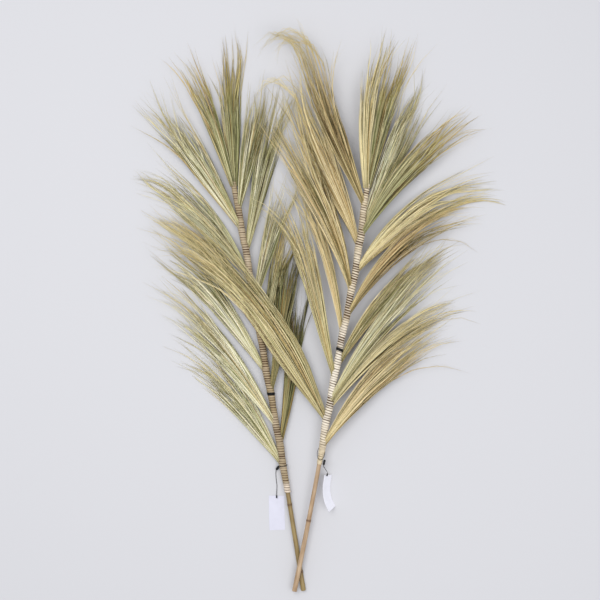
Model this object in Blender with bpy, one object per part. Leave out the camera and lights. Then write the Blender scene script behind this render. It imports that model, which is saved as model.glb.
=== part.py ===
"""A bundle of two stems of dried rayung grass, lying on a flat surface with their feet crossed.

Each stem is a cane. Sheaves of fine grass stand out of it to the left, to the right and at its tip,
and one strip, wound round and round, binds their roots to the cane. A swing tag hangs from each stem.
The right stem lies over the left one.

Metres, +Z up. +Y runs from the feet to the tips. The origin lies on the surface, under the middle of
the bundle.
"""

import math
from typing import NamedTuple

import bmesh
import bpy
import numpy as np
from mathutils import Matrix, Vector

MM = 0.001
GAP = 0.35 * MM  # running gap between pieces that touch

# Cane
CANE_FOOT_RADIUS = 5.5 * MM
CANE_TIP_RADIUS = 3.8 * MM
CANE_SIDES = 12
CANE_RINGS = 10
CANE_KNOT_SWELL = 0.8 * MM
CANE_KNOT_HALF_LENGTH = 5 * MM
CANE_SHORT_OF_WINDING = 12 * MM  # the winding's tip is solid over this length

# Winding: one strip, its turns made wider than life
WINDING_PITCH = 15.5 * MM
WINDING_SIDES = 8
WINDING_END_TURN = 0.9  # turns without any rise at each end
WINDING_END_INSET = 0.05  # turns by which the valley stays inside each end
WINDING_RELIEF = 1.0 * MM
WINDING_FOOT_RADIUS = 8.6 * MM
WINDING_RADIUS = 9.6 * MM
WINDING_TIP_RADIUS = 8.4 * MM
WINDING_FOOT_TAPER = 50 * MM

# Sheaves
NECK_RADIUS = 1.6 * MM
NECK_DEPTH = 1.6 * MM  # how far below the winding's crest a neck's middle starts
POCKET_REACH = 0.11  # share of a sheaf's length that its pocket in the winding follows
FULL_SPREAD_AT = 0.68  # share of its length where a sheaf is as wide as it gets
FULL_THICKNESS_AT = 0.34
HALF_THICKNESS = 5.2 * MM
SETTLED_AT = 0.45  # share of its length where a sheaf has come down to its level
TIP_LEVEL_FROM = 0.5  # share from which it turns to its tip's level
CORE_SHARE = 0.6  # the core's width, as a share of the sheaf's
CORE_THICKNESS_SHARE = 0.84
CORE_OPEN_AT = 0.2  # share of its length where the round neck has become the flat core
CORE_SIDES = 6
CORE_RINGS = (0.0, 0.08, 0.2, 0.36, 0.54)
CORE_END = 0.74
STRAND_RADII = (1.3 * MM, 1.15 * MM, 0.85 * MM)
STRANDS_LEAST = 8
STRANDS_PER_METRE_OF_SPREAD = 125
STRAND_FLOOR_CLEARANCE = 1.6 * MM
STRAND_STARTS = (0.12, 0.32)  # shares of the sheaf's length between which strands start
STRAND_ENDS = (0.82, 1.0)  # and between which they end, the outermost first
STRAND_INSIDE = 0.45  # share of its place across that a strand has at its start
GOLDEN_ANGLE = math.radians(137.508)

# Marker bands
BAND_WIDTH = 5.5 * MM
BAND_THICKNESS = 0.9 * MM
BAND_SIDES = 12

# Swing tags
TAG_CORD_RADIUS = 0.6 * MM
TAG_CORD_SPACING = 3.6 * MM
TAG_BEAD_RADIUS = 1.8 * MM
TAG_WIDTH = 36 * MM
TAG_THICKNESS = 0.6 * MM
TAG_LOOP_SIDES = 12


class Stem(NamedTuple):
    """One cane and its winding. Stations are Y coordinates of the cane's middle line."""

    name: str
    path: tuple  # (x, y, z) of the middle line, from the foot to the tip
    winding_foot: float
    knots: tuple
    band: float


class Sheaf(NamedTuple):
    """One sheaf of grass. A heading is degrees from +Y towards +X."""

    stem: str
    place: str
    station: float
    side: int  # -1 leaves the stem to the left, 1 to the right, 0 from its tip
    round_stem: float  # degrees above the surface's plane, seen along the stem
    headings: tuple  # at the root, the middle and the tip
    length: float
    spread: float
    level: float  # height of its middle
    tip_level: float
    tone: str

    @property
    def name(self):
        return f"{self.stem}_sheaf_{self.place}"


class Tag(NamedTuple):
    """One swing tag. Its cord's loop runs round the winding and is closed by a bead."""

    stem: str
    loop_station: float
    bead_start: tuple
    bead_end: tuple
    cord: tuple  # from the bead to the stud
    stud_start: tuple
    stud_end: tuple
    card: tuple  # the card's lower long edge
    card_lean: float  # degrees by which the card's width stands up; 180 lies flat, to the left


STEMS = {
    "left": Stem(
        "left",
        (
            (-0.032, -0.653, 0.0051),
            (-0.043, -0.585, 0.0051),
            (-0.054, -0.515, 0.0078),
            (-0.084, -0.331, 0.0126),
            (-0.113, -0.170, 0.0150),
            (-0.138, -0.030, 0.0180),
            (-0.163, 0.120, 0.0208),
            (-0.194, 0.290, 0.0240),
        ),
        winding_foot=-0.428,
        knots=(-0.610, -0.455),
        band=-0.2005,
    ),
    "right": Stem(
        "right",
        (
            (-0.053, -0.653, 0.0150),
            (-0.040, -0.590, 0.0156),
            (-0.025, -0.515, 0.0186),
            (0.001, -0.377, 0.0240),
            (0.022, -0.251, 0.0285),
            (0.052, -0.090, 0.0335),
            (0.082, 0.060, 0.0375),
            (0.098, 0.165, 0.0395),
            (0.114, 0.285, 0.0410),
        ),
        winding_foot=-0.361,
        knots=(-0.490,),
        band=-0.0985,
    ),
}

SHEAVES = (
    Sheaf("left", "tip_inner", 0.290, 0, 0, (-4, -4, -4), 0.350, 0.044, 0.006, 0.006, "green"),
    Sheaf("left", "tip_outer", 0.290, 0, 0, (-17, -21, -32), 0.325, 0.036, 0.0185, 0.0160, "green"),
    Sheaf("left", "left_1", 0.189, -1, 25, (-31, -34, -38), 0.365, 0.056, 0.0175, 0.0150, "green"),
    Sheaf("left", "left_2", 0.083, -1, -25, (-35, -46, -66), 0.345, 0.062, 0.0045, 0.0050, "green"),
    Sheaf("left", "left_3", -0.005, -1, 25, (-29, -46, -66), 0.335, 0.040, 0.0175, 0.0170, "gold"),
    Sheaf("left", "left_4", -0.138, -1, -25, (-33, -40, -60), 0.400, 0.050, 0.0045, 0.0050, "green"),
    Sheaf("left", "left_5", -0.258, -1, 25, (-33, -42, -62), 0.420, 0.055, 0.0175, 0.0150, "pale"),
    Sheaf("left", "left_6", -0.352, -1, -25, (-32, -40, -58), 0.370, 0.062, 0.0045, 0.0050, "green"),
    Sheaf("left", "right_1", 0.232, 1, 25, (9, 11, 9), 0.290, 0.044, 0.0175, 0.0150, "green"),
    Sheaf("left", "right_2", 0.138, 1, -25, (11, 13, 18), 0.398, 0.046, 0.0045, 0.0050, "green"),
    Sheaf("left", "right_3", 0.025, 1, 25, (13, 16, 20), 0.288, 0.038, 0.0175, 0.0170, "green"),
    Sheaf("left", "right_4", -0.083, 1, -25, (10, 13, 22), 0.303, 0.036, 0.0045, 0.0050, "green"),
    Sheaf("left", "right_5", -0.182, 1, 25, (11, 8, 16), 0.382, 0.038, 0.0175, 0.0170, "green"),
    Sheaf("left", "right_6", -0.301, 1, -25, (11, 5, 2), 0.405, 0.036, 0.0045, 0.0050, "green"),
    Sheaf("right", "tip_inner", 0.285, 0, 0, (-3, 5, 11), 0.372, 0.036, 0.040, 0.030, "green"),
    Sheaf("right", "tip_outer", 0.285, 0, 0, (11, 15, 24), 0.345, 0.044, 0.026, 0.008, "green"),
    Sheaf("right", "right_1", 0.197, 1, -25, (22, 24, 23), 0.368, 0.054, 0.0140, 0.0045, "green"),
    Sheaf("right", "right_2", 0.172, 1, 30, (31, 44, 66), 0.385, 0.048, 0.032, 0.018, "green"),
    Sheaf("right", "right_3", 0.087, 1, -25, (38, 57, 82), 0.392, 0.060, 0.0140, 0.0045, "gold"),
    Sheaf("right", "right_4", -0.005, 1, 25, (31, 51, 82), 0.392, 0.042, 0.029, 0.018, "brown"),
    Sheaf("right", "right_5", -0.122, 1, -25, (29, 44, 62), 0.394, 0.042, 0.0120, 0.0045, "brown"),
    Sheaf("right", "right_6", -0.202, 1, 38, (30, 40, 48), 0.447, 0.046, 0.027, 0.017, "pale"),
    Sheaf("right", "right_7", -0.224, 1, -38, (36, 54, 84), 0.432, 0.036, 0.0100, 0.0045, "pale"),
    Sheaf("right", "right_8", -0.305, 1, 25, (33, 47, 66), 0.399, 0.058, 0.021, 0.013, "gold"),
    Sheaf("right", "left_1", 0.239, -1, 25, (-22, -20, -10), 0.410, 0.046, 0.045, 0.042, "brown"),
    Sheaf("right", "left_2", 0.147, -1, -25, (-18, -24, -12), 0.420, 0.054, 0.031, 0.029, "pale"),
    Sheaf("right", "left_3", 0.048, -1, 25, (-13, -26, -28), 0.469, 0.052, 0.045, 0.042, "gold"),
    Sheaf("right", "left_4", -0.048, -1, -25, (-9, -18, -36), 0.392, 0.026, 0.031, 0.029, "gold"),
    Sheaf("right", "left_5", -0.147, -1, 25, (-15, -15, -36), 0.477, 0.042, 0.045, 0.043, "gold"),
    Sheaf("right", "left_6", -0.251, -1, -10, (-29, -39, -74), 0.615, 0.062, 0.036, 0.034, "gold"),
)

TAGS = (
    Tag(
        "left",
        loop_station=-0.3655,
        bead_start=(-0.0885, -0.3670, 0.0070),
        bead_end=(-0.0945, -0.3765, 0.0022),
        cord=(
            (-0.0947, -0.3768, 0.0020),
            (-0.0955, -0.3850, 0.0007),
            (-0.0945, -0.4000, 0.0007),
            (-0.0930, -0.4130, 0.0007),
            (-0.0934, -0.4250, 0.0012),
            (-0.0935, -0.4341, 0.0026),
        ),
        stud_start=(-0.0935, -0.4345, 0.00275),
        stud_end=(-0.0935, -0.4415, 0.00275),
        card=(
            (-0.0755, -0.4360, 0.0),
            (-0.0755, -0.4620, 0.0),
            (-0.0750, -0.4880, 0.0),
            (-0.0740, -0.5140, 0.0),
        ),
        card_lean=180,
    ),
    Tag(
        "right",
        loop_station=-0.3500,
        bead_start=(0.0165, -0.3500, 0.0290),
        bead_end=(0.0135, -0.3625, 0.0300),
        cord=(
            (0.0135, -0.3633, 0.0292),
            (0.0150, -0.3680, 0.0215),
            (0.0180, -0.3730, 0.0175),
            (0.0212, -0.3775, 0.0205),
            (0.0227, -0.3803, 0.0254),
        ),
        stud_start=(0.0227, -0.3813, 0.0261),
        stud_end=(0.0216, -0.3882, 0.0261),
        card=(
            (0.0330, -0.3880, 0.0),
            (0.0300, -0.4070, 0.0),
            (0.0295, -0.4250, 0.0),
            (0.0330, -0.4430, 0.0),
            (0.0415, -0.4600, 0.0),
        ),
        card_lean=118,
    ),
)

# Tip sheaves stand beside each other: offsets across and above the cane's end
TIP_OFFSETS = {
    "left_sheaf_tip_inner": (3.6 * MM, -2.4 * MM),
    "left_sheaf_tip_outer": (-3.6 * MM, 2.4 * MM),
    "right_sheaf_tip_inner": (-3.6 * MM, 2.4 * MM),
    "right_sheaf_tip_outer": (3.6 * MM, -2.4 * MM),
}
TIP_SEAT = 6 * MM  # how far a tip sheaf's neck is sunk in the winding's end


# Colours


def material(name, colour, roughness):
    """A plain material for one kind of piece."""
    made = bpy.data.materials.new(name)
    made.use_nodes = True
    shader = made.node_tree.nodes["Principled BSDF"]
    shader.inputs["Base Color"].default_value = (*colour, 1)
    shader.inputs["Roughness"].default_value = roughness
    made.diffuse_color = (*colour, 1)
    return made


def make_materials():
    return {
        "cane": material("cane", (0.33, 0.22, 0.10), 0.45),
        "winding": material("winding", (0.55, 0.42, 0.27), 0.7),
        "green": material("green_grass", (0.24, 0.23, 0.11), 0.8),
        "pale": material("pale_grass", (0.42, 0.38, 0.20), 0.8),
        "gold": material("golden_grass", (0.46, 0.33, 0.13), 0.8),
        "brown": material("brown_grass", (0.22, 0.17, 0.08), 0.8),
        "black": material("black_cord", (0.01, 0.01, 0.01), 0.5),
        "card": material("tag_card", (0.85, 0.85, 0.88), 0.6),
    }


# Shapes


def object_from(bm, name, look):
    """An object of the bmesh, its faces turned outwards."""
    bmesh.ops.recalc_face_normals(bm, faces=bm.faces)
    mesh = bpy.data.meshes.new(name)
    bm.to_mesh(mesh)
    bm.free()
    made = bpy.data.objects.new(name, mesh)
    bpy.context.scene.collection.objects.link(made)
    if look:
        mesh.materials.append(look)
    return made


def loft(rings, name, look=None, tip=None):
    """A closed body through rings of points. A tip point, if given, ends it."""
    bm = bmesh.new()
    loops = [[bm.verts.new(point) for point in ring] for ring in rings]
    count = len(loops[0])
    for lower, upper in zip(loops, loops[1:]):
        for i in range(count):
            j = (i + 1) % count
            bm.faces.new((lower[i], lower[j], upper[j], upper[i]))
    bm.faces.new(loops[0])
    if tip is None:
        bm.faces.new(loops[-1])
    else:
        end = bm.verts.new(tip)
        for i in range(count):
            bm.faces.new((loops[-1][i], loops[-1][(i + 1) % count], end))
    return object_from(bm, name, look)


def circle(centre, across, above, radius, sides):
    """Points round a centre, with a side, not a corner, facing down."""
    angles = [2 * math.pi * (k + 0.5) / sides for k in range(sides)]
    return [centre + radius * (math.cos(a) * across + math.sin(a) * above) for a in angles]


def smooth_step(value):
    value = min(1.0, max(0.0, value))
    return value * value * (3 - 2 * value)


def lay_flat(body, floor=0.0):
    """Flattens what reaches below the surface, as a body's own weight does."""
    for vertex in body.data.vertices:
        vertex.co.z = max(vertex.co.z, floor)


def hide_as_cutter(body):
    body.hide_render = True
    body.display_type = "WIRE"


def boolean(body, name, operation, collection):
    modifier = body.modifiers.new(name, "BOOLEAN")
    modifier.operation = operation
    modifier.operand_type = "COLLECTION"
    modifier.collection = collection
    modifier.solver = "EXACT"


def apply_modifiers(body):
    graph = bpy.context.evaluated_depsgraph_get()
    made = bpy.data.meshes.new_from_object(body.evaluated_get(graph))
    made.name = body.name
    body.modifiers.clear()
    body.data = made


def collection_of(name, members):
    made = bpy.data.collections.new(name)
    bpy.context.scene.collection.children.link(made)
    for member in members:
        for home in member.users_collection:
            home.objects.unlink(member)
        made.objects.link(member)
    return made


def shade(body, angle=35):
    body.data.shade_smooth()
    body.data.set_sharp_from_angle(angle=math.radians(angle))


# Stems


def smooth_line(route, steps_each):
    """Points along a smooth curve through a route, by the Catmull-Rom rule."""
    given = [Vector(p) for p in route]
    given = [2 * given[0] - given[1], *given, 2 * given[-1] - given[-2]]
    points = []
    for a, b, c, d in zip(given, given[1:], given[2:], given[3:]):
        for k in range(steps_each):
            t = k / steps_each
            bend = (2 * a - 5 * b + 4 * c - d) * t * t + (3 * b - a - 3 * c + d) * t**3
            points.append(0.5 * (2 * b + (c - a) * t + bend))
    points.append(given[-2])
    return np.array(points)


def stem_frame(stem, station):
    """(centre, direction, across, above) of the stem's middle line at a station."""
    line = smooth_line(stem.path, 8)
    point = Vector([np.interp(station, line[:, 1], line[:, k]) for k in range(3)])
    low = Vector([np.interp(station - 0.01, line[:, 1], line[:, k]) for k in range(3)])
    high = Vector([np.interp(station + 0.01, line[:, 1], line[:, k]) for k in range(3)])
    along = (high - low).normalized()
    across = along.cross(Vector((0, 0, 1))).normalized()
    return point, along, across, across.cross(along)


def cane_radius(stem, station):
    share = (station - stem.path[0][1]) / (stem.path[-1][1] - stem.path[0][1])
    return CANE_FOOT_RADIUS + (CANE_TIP_RADIUS - CANE_FOOT_RADIUS) * share


def winding_radius(stem, station):
    """Radius of the winding's crests: slim at the foot, full in the middle, slimmer at the tip."""
    top = stem.path[-1][1]
    swell = smooth_step((station - stem.winding_foot) / WINDING_FOOT_TAPER)
    full = WINDING_FOOT_RADIUS + (WINDING_RADIUS - WINDING_FOOT_RADIUS) * swell
    thinning = smooth_step((station - top + 0.25) / 0.25)
    return full + (WINDING_TIP_RADIUS - WINDING_RADIUS) * thinning


def cane_stations(stem):
    """Stations of the cane's rings, with three at each knot, and even ones between."""
    foot, tip = stem.path[0][1], stem.path[-1][1] - CANE_SHORT_OF_WINDING
    even = np.linspace(foot, tip, CANE_RINGS)
    near = 2 * CANE_KNOT_HALF_LENGTH
    kept = [y for y in even if all(abs(y - k) > near for k in stem.knots)]
    knots = [k + d * CANE_KNOT_HALF_LENGTH for k in stem.knots for d in (-1, 0, 1)]
    return sorted({float(y) for y in (*kept, foot, tip, *knots)})


def cane_rings(stem, grow=0.0, overrun=0.0, knotted=True):
    stations = cane_stations(stem)
    rings = []
    for station in stations:
        centre, along, across, above = stem_frame(stem, station)
        if station == stations[0]:
            centre = centre - overrun * along
        if station == stations[-1]:
            centre = centre + overrun * along
        swell = CANE_KNOT_SWELL if knotted and station in stem.knots else 0
        radius = cane_radius(stem, station) + swell + grow
        rings.append(circle(centre, across, above, radius, CANE_SIDES))
    return rings


def make_cane(stem, looks):
    cane = loft(cane_rings(stem), f"{stem.name}_cane", looks["cane"])
    lay_flat(cane)
    shade(cane, 40)
    return cane


def make_winding(stem, looks):
    """The wound strip: crest and valley run round the stem as two helices, level at both ends."""
    foot, tip = stem.winding_foot, stem.path[-1][1]
    turns = round((tip - foot) / WINDING_PITCH)
    steps = turns * WINDING_SIDES
    bm = bmesh.new()

    rise = turns - 2 * WINDING_END_TURN

    def helix(shift, depth, inset, count):
        line = []
        for n in range(count):
            turn = n / WINDING_SIDES
            risen = min(rise - inset, max(inset, turn + shift - WINDING_END_TURN))
            station = foot + (tip - foot) * risen / rise
            centre, _, across, above = stem_frame(stem, station)
            radius = winding_radius(stem, station) - depth
            angle = 2 * math.pi * turn
            out = math.cos(angle) * across + math.sin(angle) * above
            line.append(bm.verts.new(centre + radius * out))
        return line

    crest = helix(0.0, 0.0, 0.0, steps + 1)
    valley = helix(0.5, WINDING_RELIEF, WINDING_END_INSET, steps + 1 - WINDING_SIDES)
    for n in range(len(valley) - 1):
        bm.faces.new((crest[n], crest[n + 1], valley[n + 1], valley[n]))
        upper = n + WINDING_SIDES
        bm.faces.new((valley[n], valley[n + 1], crest[upper + 1], crest[upper]))
    ends = ([*crest[: WINDING_SIDES + 1], valley[0]], [*crest[-WINDING_SIDES - 1 :], valley[-1]])
    for rim in ends:
        middle = bm.verts.new(sum((v.co for v in rim), Vector()) / len(rim))
        for a, b in zip(rim, [*rim[1:], rim[0]]):
            bm.faces.new((a, b, middle))
    return object_from(bm, f"{stem.name}_winding", looks["winding"])


def bore_cutter(stem):
    """The cane's own shape, a gap wider, which runs out of the winding's foot."""
    rings = cane_rings(stem, grow=GAP, overrun=GAP, knotted=False)
    cutter = loft(rings, f"{stem.name}_bore")
    hide_as_cutter(cutter)
    return cutter


def make_band(stem, looks):
    """A flat black band round the winding."""
    centre, along, across, above = stem_frame(stem, stem.band)
    inner = winding_radius(stem, stem.band) + GAP
    bm = bmesh.new()
    outer = inner + BAND_THICKNESS
    profile = ((inner, -0.5), (outer, -0.5), (outer, 0.5), (inner, 0.5))
    to_corner = 1 / math.cos(math.pi / BAND_SIDES)
    loops = []
    for radius, end in profile:
        middle = centre + end * BAND_WIDTH * along
        ring = circle(middle, across, above, radius * to_corner, BAND_SIDES)
        loops.append([bm.verts.new(point) for point in ring])
    for one, other in zip(loops, [*loops[1:], loops[0]]):
        for i in range(BAND_SIDES):
            j = (i + 1) % BAND_SIDES
            bm.faces.new((one[i], one[j], other[j], other[i]))
    band = object_from(bm, f"{stem.name}_marker_band", looks["black"])
    shade(band)
    return band


# Sheaves


class SheafLine:
    """The middle line of a sheaf in its own frame: root at the origin, setting out along +Y."""

    STEPS = 48

    def __init__(self, sheaf, root_height):
        self.sheaf = sheaf
        self.root_height = root_height
        at_root, at_middle, at_tip = (math.radians(h - sheaf.headings[0]) for h in sheaf.headings)
        t = np.linspace(0, 1, self.STEPS + 1)
        # The parabola through the three headings.
        bend = 2 * (at_root + at_tip - 2 * at_middle)
        self.heading = at_root + (at_tip - at_root - bend) * t + bend * t * t
        step = sheaf.length / self.STEPS
        middle = (self.heading[1:] + self.heading[:-1]) / 2
        self.x = np.concatenate([[0], np.cumsum(np.sin(middle)) * step])
        self.y = np.concatenate([[0], np.cumsum(np.cos(middle)) * step])
        self.t = t

    def half_width(self, t):
        opened = math.sin(0.5 * math.pi * min(1.0, t / FULL_SPREAD_AT))
        return NECK_RADIUS + (self.sheaf.spread / 2 - NECK_RADIUS) * opened

    def half_thickness(self, t):
        opened = math.sin(0.5 * math.pi * min(1.0, t / FULL_THICKNESS_AT))
        return NECK_RADIUS + (HALF_THICKNESS - NECK_RADIUS) * opened

    def height(self, t):
        """Height over the root: the sheaf settles to its level, then to its tip's level."""
        settled = (self.sheaf.level - self.root_height) * smooth_step(t / SETTLED_AT)
        turned = smooth_step((t - TIP_LEVEL_FROM) / (1 - TIP_LEVEL_FROM))
        return settled + (self.sheaf.tip_level - self.sheaf.level) * turned

    def point(self, t, across, above):
        """The point at share t of the length, with across and above in metres."""
        turn = np.interp(t, self.t, self.heading)
        return Vector(
            (
                np.interp(t, self.t, self.x) + across * math.cos(turn),
                np.interp(t, self.t, self.y) - across * math.sin(turn),
                self.height(t) + above,
            )
        )


def core_ring(line, t, grow=0.0, behind=0.0):
    """A ring of the core. Near the root it is the round neck, and further out a flat oval."""
    opened = smooth_step(t / CORE_OPEN_AT)
    width = line.half_width(t) * (1 - (1 - CORE_SHARE) * opened) + grow
    thickness = line.half_thickness(t) * (1 - (1 - CORE_THICKNESS_SHARE) * opened) + grow
    ring = []
    for k in range(CORE_SIDES):
        angle = 2 * math.pi * (k + 0.5) / CORE_SIDES
        ring.append(line.point(t, width * math.cos(angle), thickness * math.sin(angle)))
    return [point - Vector((0, behind, 0)) for point in ring]


def strand_body(line, rng, across, above, floor, name):
    """One three-sided strand: it starts inside the core and runs out to its own tip."""
    start = STRAND_STARTS[0] + (STRAND_STARTS[1] - STRAND_STARTS[0]) * rng.random()
    reach = 1 - abs(across) * (1 - rng.random() / 3)
    end = STRAND_ENDS[0] + (STRAND_ENDS[1] - STRAND_ENDS[0]) * reach
    turn = 2 * math.pi * rng.random()
    rings = []
    for k, radius in enumerate(STRAND_RADII):
        share = k / len(STRAND_RADII)
        t = start + (end - start) * share
        out = STRAND_INSIDE + (1 - STRAND_INSIDE) * smooth_step(share)
        side = across * out * line.half_width(t)
        lift = above * out * line.half_thickness(t)
        middle = line.point(t, side, lift)
        middle.z = max(middle.z, floor + STRAND_FLOOR_CLEARANCE)
        ahead = line.point(t + 0.01, side, lift) - line.point(t, side, lift)
        right = ahead.cross(Vector((0, 0, 1))).normalized()
        up = right.cross(ahead).normalized()
        angles = [turn + 2 * math.pi * j / 3 for j in range(3)]
        rings.append([middle + radius * (math.cos(a) * right + math.sin(a) * up) for a in angles])
    tip = line.point(end, across * line.half_width(end), above * line.half_thickness(end))
    tip.z = max(tip.z, floor + STRAND_FLOOR_CLEARANCE / 2)
    return loft(rings, name, tip=tip)


def sheaf_root(sheaf):
    """(root point, sheaf's setting-out turn about Z)."""
    stem = STEMS[sheaf.stem]
    if sheaf.side == 0:
        centre, along, across, above = stem_frame(stem, sheaf.station)
        sideways, upwards = TIP_OFFSETS[sheaf.name]
        root = centre - TIP_SEAT * along + sideways * across + upwards * above
    else:
        centre, along, across, above = stem_frame(stem, sheaf.station)
        out = winding_radius(stem, sheaf.station) - NECK_DEPTH
        lean = math.radians(sheaf.round_stem)
        root = centre + out * (sheaf.side * math.cos(lean) * across + math.sin(lean) * above)
    return root, -math.radians(sheaf.headings[0])


def place(body, root, turn, parent):
    body.location = root
    body.rotation_euler = (0, 0, turn)
    body.parent = parent


def make_sheaf(sheaf, number, looks, parent):
    """The sheaf, and the cutter that makes its pocket in the winding."""
    root, turn = sheaf_root(sheaf)
    line = SheafLine(sheaf, root.z)
    floor = -root.z
    rng = np.random.default_rng(number)

    rings = [core_ring(line, t) for t in CORE_RINGS]
    body = loft(rings, sheaf.name, looks[sheaf.tone], tip=line.point(CORE_END, 0, 0))
    lay_flat(body, floor)

    count = STRANDS_LEAST + round(sheaf.spread * STRANDS_PER_METRE_OF_SPREAD)
    strands = []
    for i in range(count):
        reach = math.sqrt(i / (count - 1))
        across = reach * math.cos(i * GOLDEN_ANGLE)
        above = reach * math.sin(i * GOLDEN_ANGLE)
        strands.append(strand_body(line, rng, across, above, floor, f"strand_{i}"))
    gathered = collection_of(f"{sheaf.name}_strands", strands)
    boolean(body, "strands", "UNION", gathered)
    apply_modifiers(body)
    for strand in strands:
        bpy.data.objects.remove(strand)
    bpy.data.collections.remove(gathered)
    shade(body, 50)
    place(body, root, turn, parent)

    pocket_rings = [core_ring(line, 0.0, GAP, behind=GAP)]
    pocket_rings += [core_ring(line, POCKET_REACH * k / 3, GAP) for k in (1, 2, 3)]
    pocket = loft(pocket_rings, f"{sheaf.name}_pocket")
    hide_as_cutter(pocket)
    place(pocket, root, turn, parent)
    return pocket


# Swing tags


def make_bead(name, start, end, looks):
    """A small barrel of black plastic with tapered ends."""
    start, end = Vector(start), Vector(end)
    along = (end - start).normalized()
    across = along.cross(Vector((0, 0, 1))).normalized()
    above = across.cross(along)
    shape = ((0.0, 0.6), (0.25, 1.0), (0.75, 1.0), (1.0, 0.6))
    rings = [
        circle(start.lerp(end, share), across, above, TAG_BEAD_RADIUS * size, 8) for share, size in shape
    ]
    bead = loft(rings, name, looks["black"])
    shade(bead, 60)
    return bead


def make_tag_loop(tag, looks):
    """The cord's loop round the stem, with the bead that closes it."""
    stem = STEMS[tag.stem]
    centre, along, _, _ = stem_frame(stem, tag.loop_station)
    radius = winding_radius(stem, tag.loop_station) + GAP + TAG_CORD_RADIUS
    bpy.ops.mesh.primitive_torus_add(
        major_segments=TAG_LOOP_SIDES,
        minor_segments=5,
        major_radius=radius / math.cos(math.pi / TAG_LOOP_SIDES),
        minor_radius=TAG_CORD_RADIUS,
        location=centre,
        rotation=along.to_track_quat("Z", "Y").to_euler(),
    )
    loop = bpy.context.object
    loop.name = loop.data.name = f"{tag.stem}_tag_loop"
    loop.data.materials.append(looks["black"])
    bead = make_bead("bead", tag.bead_start, tag.bead_end, looks)
    gathered = collection_of("bead", [bead])
    boolean(loop, "bead", "UNION", gathered)
    apply_modifiers(loop)
    bpy.data.objects.remove(bead)
    bpy.data.collections.remove(gathered)
    shade(loop, 60)
    return loop


def make_tag_cord(tag, looks):
    """The free cord from the loop's bead to the card's stud."""
    curve = bpy.data.curves.new(f"{tag.stem}_tag_cord", "CURVE")
    curve.dimensions = "3D"
    curve.bevel_depth = TAG_CORD_RADIUS
    curve.bevel_resolution = 2
    curve.use_fill_caps = True
    points = smooth_route(tag.cord, TAG_CORD_SPACING)
    spline = curve.splines.new("POLY")
    spline.points.add(len(points) - 1)
    for point, co in zip(spline.points, points):
        point.co = (*co, 1)
    cord = bpy.data.objects.new(curve.name, curve)
    bpy.context.scene.collection.objects.link(cord)
    curve.materials.append(looks["black"])
    return cord


def smooth_route(route, spacing):
    """Evenly spaced points along the smooth curve through a route."""
    fine = smooth_line(route, 20)
    run = np.concatenate([[0], np.cumsum(np.linalg.norm(np.diff(fine, axis=0), axis=1))])
    even = np.linspace(0, run[-1], round(run[-1] / spacing) + 1)
    return [tuple(np.interp(d, run, fine[:, k]) for k in range(3)) for d in even]


def make_card(tag, looks):
    """The blank card, a thin strip that curls along the tag's route and leans to one side."""
    line = smooth_line(tag.card, 2)
    rings = []
    for n, point in enumerate(line):
        ahead = Vector(line[min(n + 1, len(line) - 1)] - line[max(n - 1, 0)])
        ahead.normalize()
        level = Vector((0, 0, 1)).cross(ahead).normalized()
        lean = math.radians(tag.card_lean)
        across = math.cos(lean) * level + math.sin(lean) * Vector((0, 0, 1))
        out = ahead.cross(across).normalized() * TAG_THICKNESS
        foot = Vector(point)
        head = foot + TAG_WIDTH * across
        rings.append([foot, head, head + out, foot + out])
    card = loft(rings, f"{tag.stem}_tag_card", looks["card"])
    lowest = min(vertex.co.z for vertex in card.data.vertices)
    card.data.transform(Matrix.Translation((0, 0, -lowest)))
    shade(card, 30)
    return card


def make_tag(tag, looks, parent):
    pieces = (
        make_tag_loop(tag, looks),
        make_tag_cord(tag, looks),
        make_bead(f"{tag.stem}_tag_stud", tag.stud_start, tag.stud_end, looks),
        make_card(tag, looks),
    )
    for piece in pieces:
        piece.parent = parent


def main():
    for old in list(bpy.data.objects):
        bpy.data.objects.remove(old)
    looks = make_materials()
    for stem in STEMS.values():
        parent = bpy.data.objects.new(f"{stem.name}_stem", None)
        bpy.context.scene.collection.objects.link(parent)
        make_cane(stem, looks).parent = parent
        winding = make_winding(stem, looks)
        winding.parent = parent
        make_band(stem, looks).parent = parent
        cutters = [bore_cutter(stem)]
        for number, sheaf in enumerate(SHEAVES):
            if sheaf.stem == stem.name:
                cutters.append(make_sheaf(sheaf, number, looks, parent))
        boolean(winding, "seats", "DIFFERENCE", collection_of(f"{stem.name}_cutters", cutters))
        shade(winding, 60)
        make_tag(next(tag for tag in TAGS if tag.stem == stem.name), looks, parent)


main()
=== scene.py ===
"""Looks of a bundle of dried rayung grass that lies on a pale floor, seen from straight above.

Two canes lie crossed at their feet. Out of each stand sheaves of fine straws, and one strip, wound
round and round, binds the sheaves' roots to the cane. A blank swing tag hangs from each stem on a
black cord. Metres, +Z up, +Y from the feet to the tips.
"""

from __future__ import annotations

import logging
import math
from dataclasses import dataclass
from enum import Enum
from typing import Any

import bmesh
import bpy
import numpy as np
from mathutils import Matrix, Vector

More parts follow.
